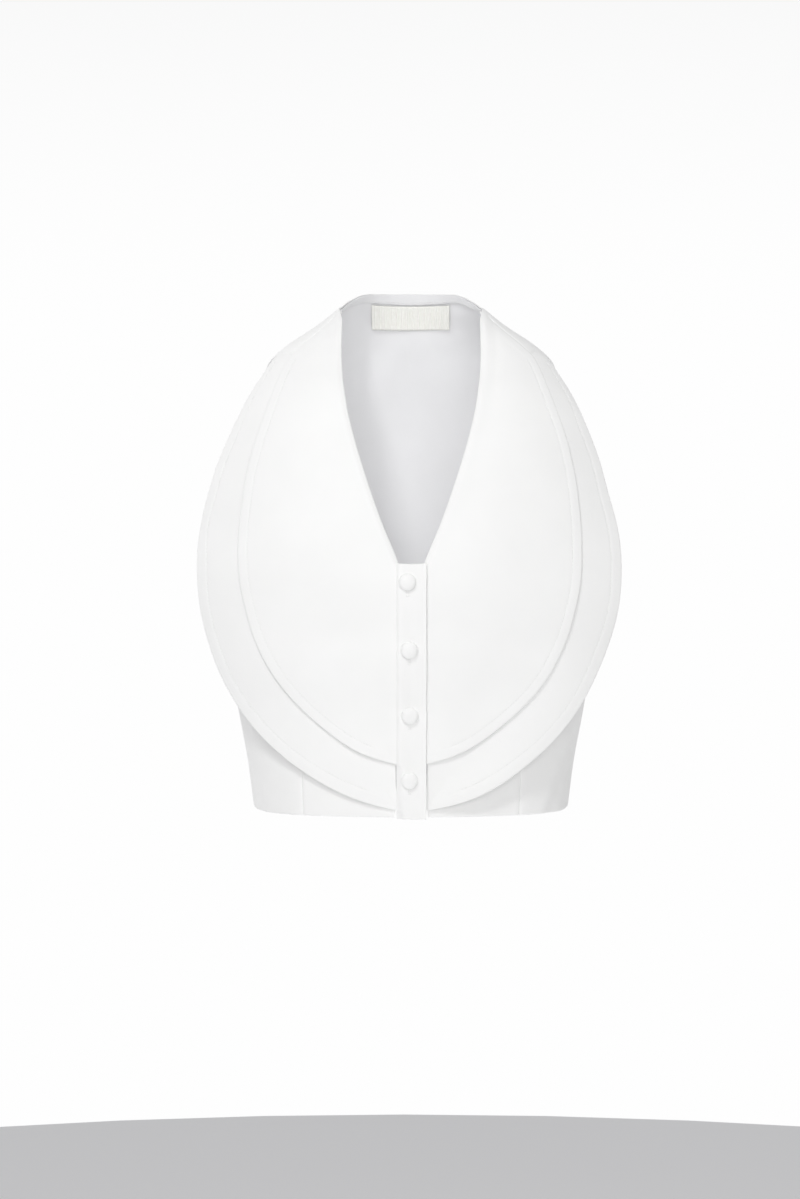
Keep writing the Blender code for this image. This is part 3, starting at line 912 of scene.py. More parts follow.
def back_pair():
    seam = Path(shifted(seam_line, SEAM_LAP), BACK)
    last = SHOULDER_SEAM[0].angle + SEAM_LAP
    neck_angles = heights(-90.0, last, NECK_SAMPLES)
    neck = Path([(angle, neck_table.at(angle).height) for angle in neck_angles], BACK)
    armhole = armhole_path(BACK_ARMHOLE, -1, BACK)

    def top(across):
        if across <= NECK_SHARE:
            return neck.at(across / NECK_SHARE)
        return seam.at((across - NECK_SHARE) / (1 - NECK_SHARE))

    return blended(
        top,
        lambda v: (-90.0, mix(NECK_EDGE[0].height, CLOSE_LEVEL, v)),
        armhole.at,
        lambda height: -90.0,
        lambda height: SIDE_LAP,
    )


on_back = back_pair()
body_creases = creases_of("body")
back_rows = panel_rows(BACK_UPPER_ROWS, BACK_LOWER_ROWS)
back_shares = spread(BACK_COLUMNS, 0.6)


def back_edge_dip(pair, across, down):
    """The back turns down into the side seam, the shoulder seam and the sewn top of the tiers."""
    corner = moved_out(*pair, BACK)
    to_armhole = (moved_out(*on_back(1.0, down), BACK) - corner).length
    near_shoulder = 1 - ease((down - SHOULDER_END_SHARE) / SHOULDER_END_FADE)
    dip = -SHOULDER_END_DIP * near_shoulder * (1 - ease(to_armhole / SHOULDER_END_REACH))
    if down >= UPPER_SHARE:
        dip += seam_dip(to_armhole)
    if across > NECK_SHARE:
        near = moved_out(*on_back(across, 0.0), BACK)
        dip += seam_dip((near - corner).length) * ease((across - NECK_SHARE) / NECK_POINT_FADE)
    return dip


def back_place(column, row):
    side = 1 if column >= BACK_COLUMNS else -1
    across = back_shares[abs(column - BACK_COLUMNS)]
    pair = on_back(across, back_rows[row])
    return cloth_point(body_creases, side, *pair, BACK, back_edge_dip(pair, across, back_rows[row]))


# The back's inner side, seen through the V neck, gets the darker copy of the crepe: painted shade.
back = lay_sheet(
    "back", 2 * BACK_COLUMNS, len(back_rows) - 1, back_place, BODY_WALL, outer_crepe,
    inside=shaded_inside_crepe,
)
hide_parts("back_panel")
print("back", round(measured["back"].area, 4), "square metres")

# %% [markdown]
# ## Centre front and side front
#
# Each front is two pieces, joined by a princess seam that runs from the shoulder over the bust to the hem.
# Such a seam shapes the bust without a dart. The centre front stops a few millimetres short of the V edge,
# because the topmost tier is turned over that edge and hides it.

# %% Fronts
FRONT_COLUMNS = 20
SIDE_COLUMNS = 18
FRONT_UPPER_ROWS = 44
FRONT_LOWER_ROWS = 30
V_HIDDEN = 0.0040
PRINCESS_SAMPLES = 60


def princess_angle(height, gap):
    return angle_of(princess_table.at(height).x + gap, height, FRONT)


def princess_stops(start, gap):
    stops = [start]
    for height in heights(start[1], CLOSE_LEVEL, PRINCESS_SAMPLES)[1:]:
        stops.append((princess_angle(height, gap), height))
    return stops


def share_at(path, x):
    """The share of the shoulder seam at which it is x from the centre."""
    low, high = 0.0, 1.0
    for _ in range(26):
        middle = (low + high) / 2
        if moved_out(*path.at(middle), FRONT).x < x:
            low = middle
        else:
            high = middle
    return low


def front_pairs():
    seam = Path(shifted(seam_line, -SEAM_LAP), FRONT)
    v_edge = Path(v_edge_stops(FRONT), FRONT)
    armhole = armhole_path(FRONT_ARMHOLE, 1, FRONT)
    centre_end = share_at(seam, PRINCESS[0].x + PRINCESS_LAP / 2)
    side_start = share_at(seam, PRINCESS[0].x - PRINCESS_LAP / 2)
    inner_princess = Path(princess_stops(seam.at(centre_end), PRINCESS_LAP / 2), FRONT)
    outer_princess = Path(princess_stops(seam.at(side_start), -PRINCESS_LAP / 2), FRONT)
    centre = blended(
        lambda across: seam.at(centre_end * across),
        v_edge.at,
        inner_princess.at,
        lambda height: angle_of(FRONT_EDGE, height, FRONT),
        lambda height: princess_angle(height, PRINCESS_LAP / 2),
    )
    side = blended(
        lambda across: seam.at(mix(side_start, 1.0, across)),
        outer_princess.at,
        armhole.at,
        lambda height: princess_angle(height, -PRINCESS_LAP / 2),
        lambda height: -SIDE_LAP,
    )
    return centre, side


front_rows = panel_rows(FRONT_UPPER_ROWS, FRONT_LOWER_ROWS)


class FrontRow:
    """One row of a front piece: its share down, and its width."""

    def __init__(self, pairs, down):
        self.down = down
        start = moved_out(*pairs(0.0, down), FRONT)
        end = moved_out(*pairs(1.0, down), FRONT)
        self.width = (end - start).length


def front_place(pairs, side, columns, hidden, seams):
    """Places for a front piece. Seams names its sewn long edges: start, end or side.

    Side is the end as well, but sewn only below the underarm.
    """
    lines = [FrontRow(pairs, down) for down in front_rows]
    shares = crowded_ends(columns)

    def place(column, row):
        line = lines[row]
        first = min(hidden / line.width, 0.5)
        across = mix(first, 1.0, shares[column])
        pair = pairs(across, line.down)
        dip = 0.0
        if "start" in seams:
            dip += seam_dip(across * line.width)
        if "end" in seams or ("side" in seams and line.down >= UPPER_SHARE):
            dip += seam_dip((1 - across) * line.width)
        return cloth_point(body_creases, side, *pair, FRONT, dip)

    return place


centre_pairs, side_pairs = front_pairs()
for side, word in ((-1, "left"), (1, "right")):
    for piece, columns, pairs, hidden, seams in (
        ("centre_front", FRONT_COLUMNS, centre_pairs, V_HIDDEN, ("end",)),
        ("side_front", SIDE_COLUMNS, side_pairs, 0.0, ("start", "side")),
    ):
        name = f"{piece}_{word}"
        place = front_place(pairs, side, columns, hidden, seams)
        # The inner side of each front gets the darker copy of the crepe: painted shade.
        made = lay_sheet(
            f"{name}_cloth", columns, len(front_rows) - 1, place, BODY_WALL, outer_crepe,
            inside=shaded_inside_crepe,
        )
        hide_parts(name)
        print(made.name, round(measured[made.name].area, 4), "square metres")

# %% [markdown]
# ## The flap tiers
#
# Two rounded flaps lie on each front, sewn in at the V edge and at the shoulder and loose everywhere else.
# Each is a leaf-shaped grid: its rows run from the V edge out to the free edge, and shrink to a point at
# both ends. The upper tier is cut smaller, so that a band of the lower one shows below it.

# %% Sizes of the tiers
Tier = namedtuple("Tier", "name side steps sewn column stand_off stitch")
TIERS = (
    Tier("lower_tier_left", -1, 1, 1.0, "lower_left", 0.0018, 0.0115),
    Tier("lower_tier_right", 1, 1, 1.0, "lower_right", 0.0105, 0.0115),
    Tier("upper_tier_left", -1, 2, 0.96, "upper_left", 0.0003, 0.0095),
    Tier("upper_tier_right", 1, 2, 0.99, "upper_right", 0.0007, 0.0095),
)
SEWN_PART = 0.12
LIFT_STARTS = 0.4
UPPER_REACHES = 0.80
CARRIED = 0.53
BELLY = 0.0008
BELLY_REACH = 0.035
BELLY_STARTS = 0.6
STAND_STARTS = 0.35
STAND_RISE = 0.4
STAND_END = 0.1
CARRIED_UNTIL = 0.72
CARRIED_FADE = 0.2
OVAL_STEPS = 120


def stand_lift(tier, share, across):
    """How far a tier stands off, by the share of the way round from the neck and across the tier."""
    round_it = ease((share - STAND_STARTS) / STAND_RISE) * ease((1.0 - share) / STAND_END)
    return tier.stand_off * round_it * ease((across - LIFT_STARTS) / (1.0 - LIFT_STARTS))


def carried_lift(tier, share, across):
    """How far a tier carries the one on it outwards. It fades towards the placket."""
    kept = 1 - ease((share - CARRIED_UNTIL) / CARRIED_FADE)
    return CARRIED * kept * stand_lift(tier, share, across)


def tier_below(tier):
    """The lower tier that an upper one lies on."""
    return TIERS[TIERS.index(tier) - 2]


def oval_stops(tier, lay):
    """The free edge of a tier, from the shoulder down to the placket."""
    stops = []
    for step in range(OVAL_STEPS + 1):
        direction = mix(OVAL[0].direction, OVAL[-1].direction, step / OVAL_STEPS)
        distance = getattr(oval_table.at(direction), tier.column)
        x = max(distance * math.cos(math.radians(direction)), FRONT_EDGE)
        height = OVAL_MIDDLE + distance * math.sin(math.radians(direction))
        share = mix(SEWN_PART, 1.0, step / OVAL_STEPS)
        lift = stand_lift(tier, share, 1.0)
        if tier.steps == 2:
            lift += carried_lift(tier_below(tier), share, UPPER_REACHES)
        stops.append((angle_of(x, height, lay, lift), height))
    return stops


# %% [markdown]
# ## Edge of a tier
#
# The free edge of a tier is turned and topstitched about a centimetre in. Between the edge and the stitches
# lie the trimmed seam allowances, so that band is a little thicker and stands up like a soft ridge. The
# stitches pull a narrow groove, and the cloth puckers slightly beside them.

# %% Ridge, groove and puckers
RIDGE = 0.00026
RIDGE_SLOPE = 0.0030
GROOVE = 0.00016
GROOVE_HALF = 0.0006
EDGE_ROUND = 0.0003
EDGE_ROUND_REACH = 0.0012
PUCKER = 0.00005
PUCKER_LENGTH = 0.0105
PUCKER_REACH = 0.0045
PUCKER_DRIFT = 0.037
FLUTE = 0.0008
FLUTE_LENGTH = 0.031
FLUTE_DRIFT = 0.072


def edge_relief(tier, distance, walked):
    """How far out a tier's cloth stands at a distance in from its free edge, walked metres round it."""
    inside = (distance - tier.stitch + RIDGE_SLOPE) / RIDGE_SLOPE
    ridge = RIDGE * ease(distance / EDGE_ROUND_REACH) * (1 - ease(inside))
    beside = (distance - tier.stitch) / GROOVE_HALF
    groove = -GROOVE * math.exp(-beside * beside)
    pulled = math.exp(-(((distance - tier.stitch) / PUCKER_REACH) ** 2))
    wave = math.sin(math.tau * walked / PUCKER_LENGTH + 2.0 * math.sin(walked / PUCKER_DRIFT))
    rounding = EDGE_ROUND * (1 - ease(distance / EDGE_ROUND_REACH))
    return ridge + groove + PUCKER * pulled * wave - rounding


def flute(tier, walked):
    """Slow waves of the loose edge."""
    slow = math.sin(walked / FLUTE_DRIFT + tier.side)
    return FLUTE * math.sin(walked / FLUTE_LENGTH + tier.steps) * slow


# %% [markdown]
# ## The turned V edge
#
# At the V neck the topmost tier rolls round all the layers and ends a little way inside, which gives the
# neck one soft, clean edge. In the grid that is a few more columns: a flat run inside, a half turn, and the
# first millimetres outside, which dip towards the edge.

# %% Columns of a tier
INSIDE_RUN = (0.0095, 0.0060, 0.0030, 0.0010)
TURN_DEGREES = (180.0, 144.0, 108.0, 72.0, 36.0, 0.0)
V_COLUMNS = (0.0010, 0.0022, 0.0038, 0.0060, 0.0090)
EDGE_COLUMNS = (0.0060, 0.0032, 0.0016, 0.0008, 0.0003, -0.0003, -0.0008, -0.0016, -0.0032)
RIM_COLUMNS = (0.0032, 0.0018, 0.0008, 0.0)
MIDDLE_COLUMNS = 14
TIER_ROWS = 92
ROLL_DIP = 0.0012
ROLL_REACH = 0.0040
ROLL_HALF = 0.00145
TURN_WIDTH = 0.0240
INSIDE_DROP = 0.0010
THIN_SHARE = 0.38
LOWER_TUCK = 0.95
ROLL_HOLLOW = 0.0005
ROLL_HOLLOW_AT = 0.0120
ROLL_HOLLOW_HALF = 0.0040
HOLLOW_UNTIL = 0.2
HOLLOW_FADE = 0.4
ROW_BEND = 0.3
EDGE_STEP = 0.02
LEAST_SQUARE = 0.45
NO_WIDTH = 0.00001
POINT_WIDTH = 0.012
FREE_FADE = 0.02
LOOSE_END = 0.08
LOOSE_FROM = 0.5
PRESSED_SHARE = -0.2
THIN_COLUMNS = 5
SEAM_SAMPLES = 48
PLACKET_SAMPLES = 40
V_PART = 0.3
EDGE_PART = 0.5


class TierRow:
    """One row of a tier: its ends on the form, its length, and how squarely it meets the free edge."""

    def __init__(self, cloth, down):
        self.share = mix(down, down**2, ROW_BEND)
        self.start = cloth.inner.at(self.share)
        self.end = cloth.outer.at(self.share)
        start, end = moved_out(*self.start, cloth.lay), moved_out(*self.end, cloth.lay)
        self.width = (end - start).length
        before = moved_out(*cloth.outer.at(max(self.share - EDGE_STEP, 0.0)), cloth.lay)
        after = moved_out(*cloth.outer.at(min(self.share + EDGE_STEP, 1.0)), cloth.lay)
        along = (after - before).normalized()
        across = (end - start).normalized() if self.width > NO_WIDTH else Vector((0, 0, 0))
        self.square = max(along.cross(across).length, LEAST_SQUARE)
        self.walked = self.share * cloth.outer.walked[-1]
        self.reach = 0.0
        if cloth.below:
            self.reach = min(self.width / max(TierRow(cloth.below, down).width, NO_WIDTH), 1.0)


class TierCloth:
    """Where the cloth of one tier lies. The upper tier also knows the one below it."""

    def __init__(self, tier, below):
        self.tier = tier
        self.below = below
        self.lay = Lay(tier.steps * LOWER_LAYER, 1, 1.0 if tier.steps == 2 else LOWER_TUCK)
        self.creases = creases_of("upper" if tier.steps == 2 else "lower")
        seam = Path(shifted(seam_line, -SEAM_LAP), self.lay)
        sewn = [seam.at(tier.sewn * step / SEAM_SAMPLES) for step in range(SEAM_SAMPLES + 1)]
        if tier.steps == 1:
            sewn += rounded((SHOULDER_SEAM[-1], *TIER_SHOULDER))[1:]
        free = oval_stops(tier, self.lay)
        self.outer = Path(sewn + free, self.lay)
        inner_stops = v_edge_stops(self.lay)
        for height in heights(CLOSE_LEVEL, free[-1][1], PLACKET_SAMPLES)[1:]:
            inner_stops.append((angle_of(FRONT_EDGE, height, self.lay), height))
        self.inner = Path(inner_stops, self.lay)
        self.sewn_share = self.outer.walked[len(sewn) - 1] / self.outer.walked[-1]
        print(tier.name, "free edge starts at", round(self.sewn_share, 3))

    def lift(self, row, across):
        """How far the cloth at a share of a row stands out from its layer."""
        tier = self.tier
        past_seam = ease((row.share - BELLY_STARTS * SEWN_PART) / SEWN_PART)
        belly = tier.steps * BELLY * past_seam * ease(across * row.width / BELLY_REACH)
        stand = stand_lift(tier, row.share, across)
        if self.below:
            stand += carried_lift(self.below.tier, row.share, across * row.reach)
        distance = (1 - across) * row.width * row.square
        free = ease((row.share - self.sewn_share) / FREE_FADE)
        loose = free * ease((1.0 - row.share) / LOOSE_END)
        loose *= ease((across - LOOSE_FROM) / (1.0 - LOOSE_FROM))
        relief = mix(seam_dip(distance), edge_relief(tier, distance, row.walked), free)
        relief *= ease(row.width / POINT_WIDTH)
        if tier.steps == 2:
            inside = across * row.width
            beside = (inside - ROLL_HOLLOW_AT) / ROLL_HOLLOW_HALF
            fade = 1 - ease((row.share - HOLLOW_UNTIL) / HOLLOW_FADE)
            hollow = ROLL_HOLLOW * math.exp(-beside * beside) * fade
            roll = ROLL_DIP * (1 - ease(inside / ROLL_REACH)) + hollow
            relief -= roll * ease(row.width / POINT_WIDTH)
        fluted = loose * max(flute(tier, row.walked), PRESSED_SHARE * tier.stand_off)
        return belly + stand + relief + fluted

    def at(self, row, across):
        pair = mix(row.start[0], row.end[0], across), mix(row.start[1], row.end[1], across)
        side = self.tier.side
        return cloth_point(self.creases, side, *pair, self.lay, self.lift(row, across))

    def turned(self, row, run, degrees):
        """A point of the turned V edge: run metres inside, or at a number of degrees round the turn."""
        point = self.at(row, 0.0)
        small = min(row.width / TURN_WIDTH, 1.0)
        if small < 0.01:
            return point
        side = self.tier.side
        normal = form_normal(*row.start, self.lay.flare)
        normal.x *= side
        inward = self.at(row, min(0.002 / row.width, 1.0)) - point
        inward = (inward - inward.dot(normal) * normal).normalized()
        turn = math.radians(degrees)
        half = ROLL_HALF * small
        aside = half * (1 - math.sin(turn)) + run * small
        drop = half * (1 - math.cos(turn)) + INSIDE_DROP * small * ease(run / 0.006)
        return point + aside * inward - drop * normal


def column_shares(cloth, row):
    """Shares across a row: close together at the V edge and round the stitches."""
    if row.width < NO_WIDTH:
        return [0.0] * (len(V_COLUMNS) + MIDDLE_COLUMNS + len(EDGE_COLUMNS) + len(RIM_COLUMNS))
    wide = row.width * row.square
    v_scale = min(1.0, V_PART * row.width / V_COLUMNS[-1])
    edge_scale = min(1.0, EDGE_PART * wide / (cloth.tier.stitch + EDGE_COLUMNS[0]))
    hidden = ROLL_HALF if cloth.tier.steps == 2 else V_HIDDEN - V_COLUMNS[0]
    start = [(hidden + distance) * v_scale / row.width for distance in V_COLUMNS]
    edge = [1 - (cloth.tier.stitch + gap) * edge_scale / wide for gap in EDGE_COLUMNS]
    edge += [1 - distance * edge_scale / wide for distance in RIM_COLUMNS]
    middle = [
        mix(start[-1], edge[0], (index + 1) / (MIDDLE_COLUMNS + 1)) for index in range(MIDDLE_COLUMNS)
    ]
    return start + middle + edge


def tier_sheet(tier, below):
    cloth = TierCloth(tier, below)
    lines = [TierRow(cloth, row / TIER_ROWS) for row in range(TIER_ROWS + 1)]
    shares = [column_shares(cloth, line) for line in lines]
    turned = []
    if tier.steps == 2:
        turned = [(run, 180.0) for run in INSIDE_RUN] + [(0.0, degrees) for degrees in TURN_DEGREES]

    def place(column, row):
        if column < len(turned):
            return cloth.turned(lines[row], *turned[column])
        return cloth.at(lines[row], shares[row][column - len(turned)])

    def thinner(column, row):
        """The run inside the V edge is thin, and the wall grows to its full thickness past the turn."""
        if not turned:
            return 1.0
        past = max(column - len(turned), 0)
        return mix(THIN_SHARE, 1.0, min(past / THIN_COLUMNS, 1.0))

    columns = len(turned) + len(shares[0]) - 1
    made = lay_sheet(
        f"{tier.name}_cloth", columns, TIER_ROWS, place, TIER_WALL, outer_crepe,
        thinner=thinner,
    )
    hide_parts(tier.name)
    print(made.name, round(measured[made.name].area, 4), "square metres")
    return cloth


tiers = {}
for tier in TIERS:
    below = tiers[tier_below(tier).name] if tier.steps == 2 else None
    tiers[tier.name] = tier_sheet(tier, below)

# %% [markdown]
# ## Stitches
#
# A lockstitch shows on the right side as short threads with a needle hole between them, each pulled a little
# into the cloth. One stitch is a small flattened ball of thread, and a loop lays a copy at every step of
# the line. With only a few faces each, hundreds of them stay light.

# %% Laying stitches
STITCH_PITCH = 0.0030
STITCH_LENGTH = 0.0024
STITCH_WIDTH = 0.00055
STITCH_HEIGHT = 0.0004
STITCH_LIFT = 0.0001
STITCHES_START = 0.012
STITCHES_END = 0.985


def add_stitch(bm, middle, along, outward, length=STITCH_LENGTH, width=STITCH_WIDTH):
    """One thread on the cloth, lying along a direction."""
    along = along.normalized()
    across = outward.cross(along).normalized()
    up = along.cross(across)
    frame_of_stitch = Matrix((along * length / 2, across * width / 2, up * STITCH_HEIGHT / 2)).transposed()
    placed = Matrix.Translation(middle) @ frame_of_stitch.to_4x4()
    bmesh.ops.create_uvsphere(bm, u_segments=6, v_segments=4, radius=1.0, matrix=placed)


def row_at(share):
    """How far down a tier's grid a share of its free edge is reached, which undoes ROW_BEND."""
    straight = 1 - ROW_BEND
    return (-straight + math.sqrt(straight**2 + 4 * ROW_BEND * share)) / (2 * ROW_BEND)


def topstitch(cloth):
    """The line of stitches inside a tier's free edge."""
    tier = cloth.tier
    bm = bmesh.new()
    length = cloth.outer.walked[-1]
    first, last = cloth.sewn_share + STITCHES_START, STITCHES_END
    count = int((last - first) * length / STITCH_PITCH)
    points = []
    for step in range(count + 1):
        row = TierRow(cloth, row_at(mix(first, last, step / count)))
        wide = row.width * row.square
        if wide < 2 * (tier.stitch + EDGE_COLUMNS[0]):
            continue
        points.append((cloth.at(row, 1 - tier.stitch / wide), row.end, tier.side))
    for (start, place, side), (end, _, _) in zip(points, points[1:]):
        if (end - start).length > 3 * STITCH_PITCH:
            continue
        outward = form_normal(*place, 1)
        outward.x *= side
        add_stitch(bm, (start + end) / 2 + outward * STITCH_LIFT, end - start, outward)
    made = mesh_object(f"{tier.name}_topstitch", bm, thread)
    print(made.name, len(points), "stitches")


for cloth in tiers.values():
    topstitch(cloth)

# %% [markdown]
# ## Placket and button stand
#
# The fronts close with a folded strip, the placket, over a second strip that carries the buttons. Its edge
# at the viewer's left is sewn down and the other one is a free fold. Between two buttons the cloth is drawn
# into a shallow trough along the line of the buttonholes.

# %% Strips at the centre front
PLACKET_LEFT = -0.0124
PLACKET_RIGHT = 0.0121
PLACKET_TOP = -0.2288
PLACKET_BOTTOM = -0.4425
PLACKET_WALL = 0.0020
PLACKET_LAYER = UPPER_LAYER + LAYER_GAP + PLACKET_WALL
TOP_HOLLOW = 0.0009
EDGE_SWAY = 0.00035
SWAY_TURN = 23.0
SWAY_DRIFT = 11.0
TOP_HOLLOW_SHARE = 0.08
SEWN_EDGE_DIP = 0.0017
SEWN_DIP_SLOPE = 1.4
TIER_FEET = ((-0.394, 0.006), (-0.434, 0.005))
FREE_EDGE_DIP = -0.0007
FREE_EDGE_REACH = 0.0016
STAND_WALL = 0.0025
STAND_LAYER = 0.0022
STAND_HALF = 0.0087
STAND_COLUMNS = 8
STAND_ROWS = 40
BUTTONS = ((-0.0033, -0.2441), (-0.0018, -0.2999), (-0.0013, -0.3547), (-0.0016, -0.4095))
BUTTONHOLE_HALF = 0.0086
BUTTONHOLE_DROP = 0.0028
TROUGH = 0.0006
TROUGH_HALF = 0.0030
TROUGH_POWER = 0.7
LAST_TROUGH = 0.35
LAST_TROUGH_REACH = 0.02
STRIP_COLUMNS = 16
STRIP_ROWS = 84


def front_angle(x, height):
    """The angle at a small distance from the centre front."""
    share = abs(x) / section(height).half_width
    return math.degrees(math.acos(share ** (ROUNDNESS / 2)))


def front_strip_point(x, height, layer, more=0.0):
    side = 1 if x >= 0 else -1
    lay = Lay(layer, 0, 1)
    return cloth_point(creases_of("strip"), side, front_angle(x, height), height, lay, more)


def button_line(height):
    """The x of the buttonholes at a height, and how much of the trough shows there."""
    if height >= BUTTONS[0][1]:
        return BUTTONS[0][0], 0.0
    for (x, top), (next_x, bottom) in zip(BUTTONS, BUTTONS[1:]):
        if height >= bottom:
            share = (top - height) / (top - bottom)
            return mix(x, next_x, ease(share)), math.sin(math.pi * share) ** TROUGH_POWER
    return BUTTONS[-1][0], LAST_TROUGH * ease((height - PLACKET_BOTTOM) / LAST_TROUGH_REACH)


def placket_place(column, row):
    share = crowded_ends(STRIP_COLUMNS)[column]
    down = spread(STRIP_ROWS, 0.6)[row]
    x = mix(PLACKET_LEFT, PLACKET_RIGHT, share)
    x += EDGE_SWAY * math.sin(down * SWAY_TURN + 1.5 * math.sin(down * SWAY_DRIFT)) * share * share
    hollow = TOP_HOLLOW * math.sin(math.pi * share) * (1 - ease(down / TOP_HOLLOW_SHARE))
    height = mix(PLACKET_TOP, PLACKET_BOTTOM, down) - hollow
    line, shown = button_line(height)
    beside = (x - line) / TROUGH_HALF
    more = -TROUGH * shown * math.exp(-beside * beside)
    past_tiers = sum(ease((foot - height) / fade) for foot, fade in TIER_FEET)
    sewn_dip = SEWN_EDGE_DIP + LOWER_LAYER * past_tiers
    more -= sewn_dip * (1 - ease((x - PLACKET_LEFT) / (SEWN_DIP_SLOPE * sewn_dip)))
    more -= FREE_EDGE_DIP * (1 - ease((PLACKET_RIGHT - x) / FREE_EDGE_REACH))
    return front_strip_point(x, height, PLACKET_LAYER, more)


def stand_place(column, row):
    x = mix(-STAND_HALF, STAND_HALF, column / STAND_COLUMNS)
    height = mix(PLACKET_TOP, HEM, row / STAND_ROWS)
    return front_strip_point(x, height, STAND_LAYER)


placket = lay_sheet(
    "placket_strip", STRIP_COLUMNS, STRIP_ROWS, placket_place, PLACKET_WALL, outer_crepe
)
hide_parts("placket")
stand = lay_sheet(
    "stand_strip", STAND_COLUMNS, STAND_ROWS, stand_place, STAND_WALL, outer_crepe
)
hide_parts("button_stand")
print("strips", placket.name, stand.name)

# %% [markdown]
# ## Covered buttons
#
# A covered button is a domed shell with cloth drawn over it and caught behind the rim, where the fullness
# gathers into tiny pleats. Its profile is spun round, and the pleats come from moving the rim's points in
# and out. A wire shank behind it passes through the buttonhole.

# %% Buttons
BUTTON_RADIUS = 0.0072
BUTTON_HEIGHT = 0.0046
BUTTON_RIM = 0.0010
SHANK_RADIUS = 0.0012
BUTTON_SEGMENTS = 44
PLEATS = 22
PLEAT_DEPTH = 0.00012
BUTTON_LIFT = 0.0002


def button_frame(x, height):
    """Where a button sits on the placket, and the turn that faces it outwards."""
    rise = 0.004
    seat = front_strip_point(x, height, PLACKET_LAYER)
    above = front_strip_point(x, height + rise, PLACKET_LAYER)
    below = front_strip_point(x, height - rise, PLACKET_LAYER)
    along = (above - below).normalized()
    outward = Vector((0.0, -along.z, along.y))
    return seat + outward * BUTTON_LIFT, math.atan2(-outward.y, outward.z)


def button_profile():
    """The button's outline from the top of the dome to the end of the shank, as (radius, height)."""
    dome = BUTTON_HEIGHT - BUTTON_RIM
    points = [(0.0, BUTTON_HEIGHT)]
    for step in range(1, 9):
        turn = math.radians(90 - 10.5 * step)
        points.append((BUTTON_RADIUS * math.cos(turn), BUTTON_RIM + dome * math.sin(turn)))
    points.append((BUTTON_RADIUS, BUTTON_RIM * 0.8))
    points.append((BUTTON_RADIUS - 0.0003, BUTTON_RIM * 0.25))
    points.append((BUTTON_RADIUS - 0.0011, 0.0))
    points.append((BUTTON_RADIUS * 0.55, 0.0003))
    points.append((SHANK_RADIUS, 0.0002))
    points.append((SHANK_RADIUS, STAND_LAYER - PLACKET_LAYER + 0.0004))
    points.append((0.0, STAND_LAYER - PLACKET_LAYER + 0.0004))
    return points


def add_button(index, x, height):
    bm = bmesh.new()
    outline = [bm.verts.new((radius, 0.0, rise)) for radius, rise in button_profile()]
    wire = [bm.edges.new(pair) for pair in zip(outline, outline[1:])]
    bmesh.ops.spin(
        bm, geom=outline + wire, cent=(0, 0, 0), axis=(0, 0, 1), angle=math.tau,
        steps=BUTTON_SEGMENTS, use_merge=True,
    )
    bmesh.ops.remove_doubles(bm, verts=bm.verts, dist=0.000005)
    bmesh.ops.recalc_face_normals(bm, faces=bm.faces)
    cloth_map = bm.loops.layers.uv.new("cloth")
    for face in bm.faces:
        for loop in face.loops:
            loop[cloth_map].uv = loop.vert.co.xy
    for vertex in bm.verts:
        radius = vertex.co.xy.length
        at_rim = ease((radius - 0.75 * BUTTON_RADIUS) / (0.2 * BUTTON_RADIUS))
        below = ease((0.0022 - vertex.co.z) / 0.0016)
        turn = math.atan2(vertex.co.y, vertex.co.x)
        pleat = 1 + PLEAT_DEPTH * at_rim * below * math.cos(PLEATS * turn) / BUTTON_RADIUS
        vertex.co.x *= pleat
        vertex.co.y *= pleat
    seat, turn = button_frame(x, height)
    bm.transform(Matrix.Translation(seat) @ Matrix.Rotation(turn, 4, "X"))
    made = mesh_object(f"covered_button_{index}", bm, button_crepe)
    smooth = made.modifiers.new("drawn smooth", "SUBSURF")
    smooth.levels = 1
    smooth.render_levels = 1
    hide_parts(f"button_{index}")
    return made


buttons = [add_button(index, x, height) for index, (x, height) in enumerate(BUTTONS, start=1)]
print(len(buttons), "covered buttons")

# %% [markdown]
# ## Buttonholes
#
# The buttonholes run up and down. A button pulls to the upper end of its hole, so only the lower end shows
# below it. Each hole is a slit between two rows of satin stitches, closed by a bar of stitches at both ends.

# %% Buttonholes
SATIN_PITCH = 0.00055
SATIN_LENGTH = 0.0011
BAR_STITCHES = 5
BAR_HALF = 0.0011
BAR_LENGTH = 0.0013
BAR_LIFT = 0.0001
SATIN_ASIDE = 0.0007
SATIN_WIDTH = 0.0005


def add_buttonhole(index, x, height):
    bm = bmesh.new()
    outward = Vector((0.0, -1.0, 0.0))
    sideways = Vector((1.0, 0.0, 0.0))
    upwards = Vector((0.0, 0.0, 1.0))
    count = int(2 * BUTTONHOLE_HALF / SATIN_PITCH)
    middle_level = height - BUTTONHOLE_DROP
    for step in range(count + 1):
        level = middle_level + mix(-BUTTONHOLE_HALF, BUTTONHOLE_HALF, step / count)
        line, shown = button_line(level)
        sunk = -TROUGH * shown
        for side in (-1, 1):
            middle = front_strip_point(line + side * SATIN_ASIDE, level, PLACKET_LAYER, sunk)
            add_stitch(bm, middle, sideways, outward, SATIN_LENGTH, SATIN_WIDTH)
    for end in (-1, 1):
        level = middle_level + end * BUTTONHOLE_HALF
        line, shown = button_line(level)
        for step in range(BAR_STITCHES):
            across = line + mix(-BAR_HALF, BAR_HALF, step / (BAR_STITCHES - 1))
            middle = front_strip_point(across, level, PLACKET_LAYER, BAR_LIFT - TROUGH * shown)
            add_stitch(bm, middle, upwards, outward, BAR_LENGTH, SATIN_WIDTH)
    return mesh_object(f"buttonhole_{index}", bm, thread)


buttonholes = [
    add_buttonhole(index, x, height) for index, (x, height) in enumerate(BUTTONS, start=1)
]
print(len(buttonholes), "buttonholes")

# %% [markdown]
# ## Back neck facing
#
# Inside the back neck a narrow band of the same crepe covers the raw edge. It is laid from the back's own
# first rows, moved in by one layer, and a line of stitches holds its lower edge.

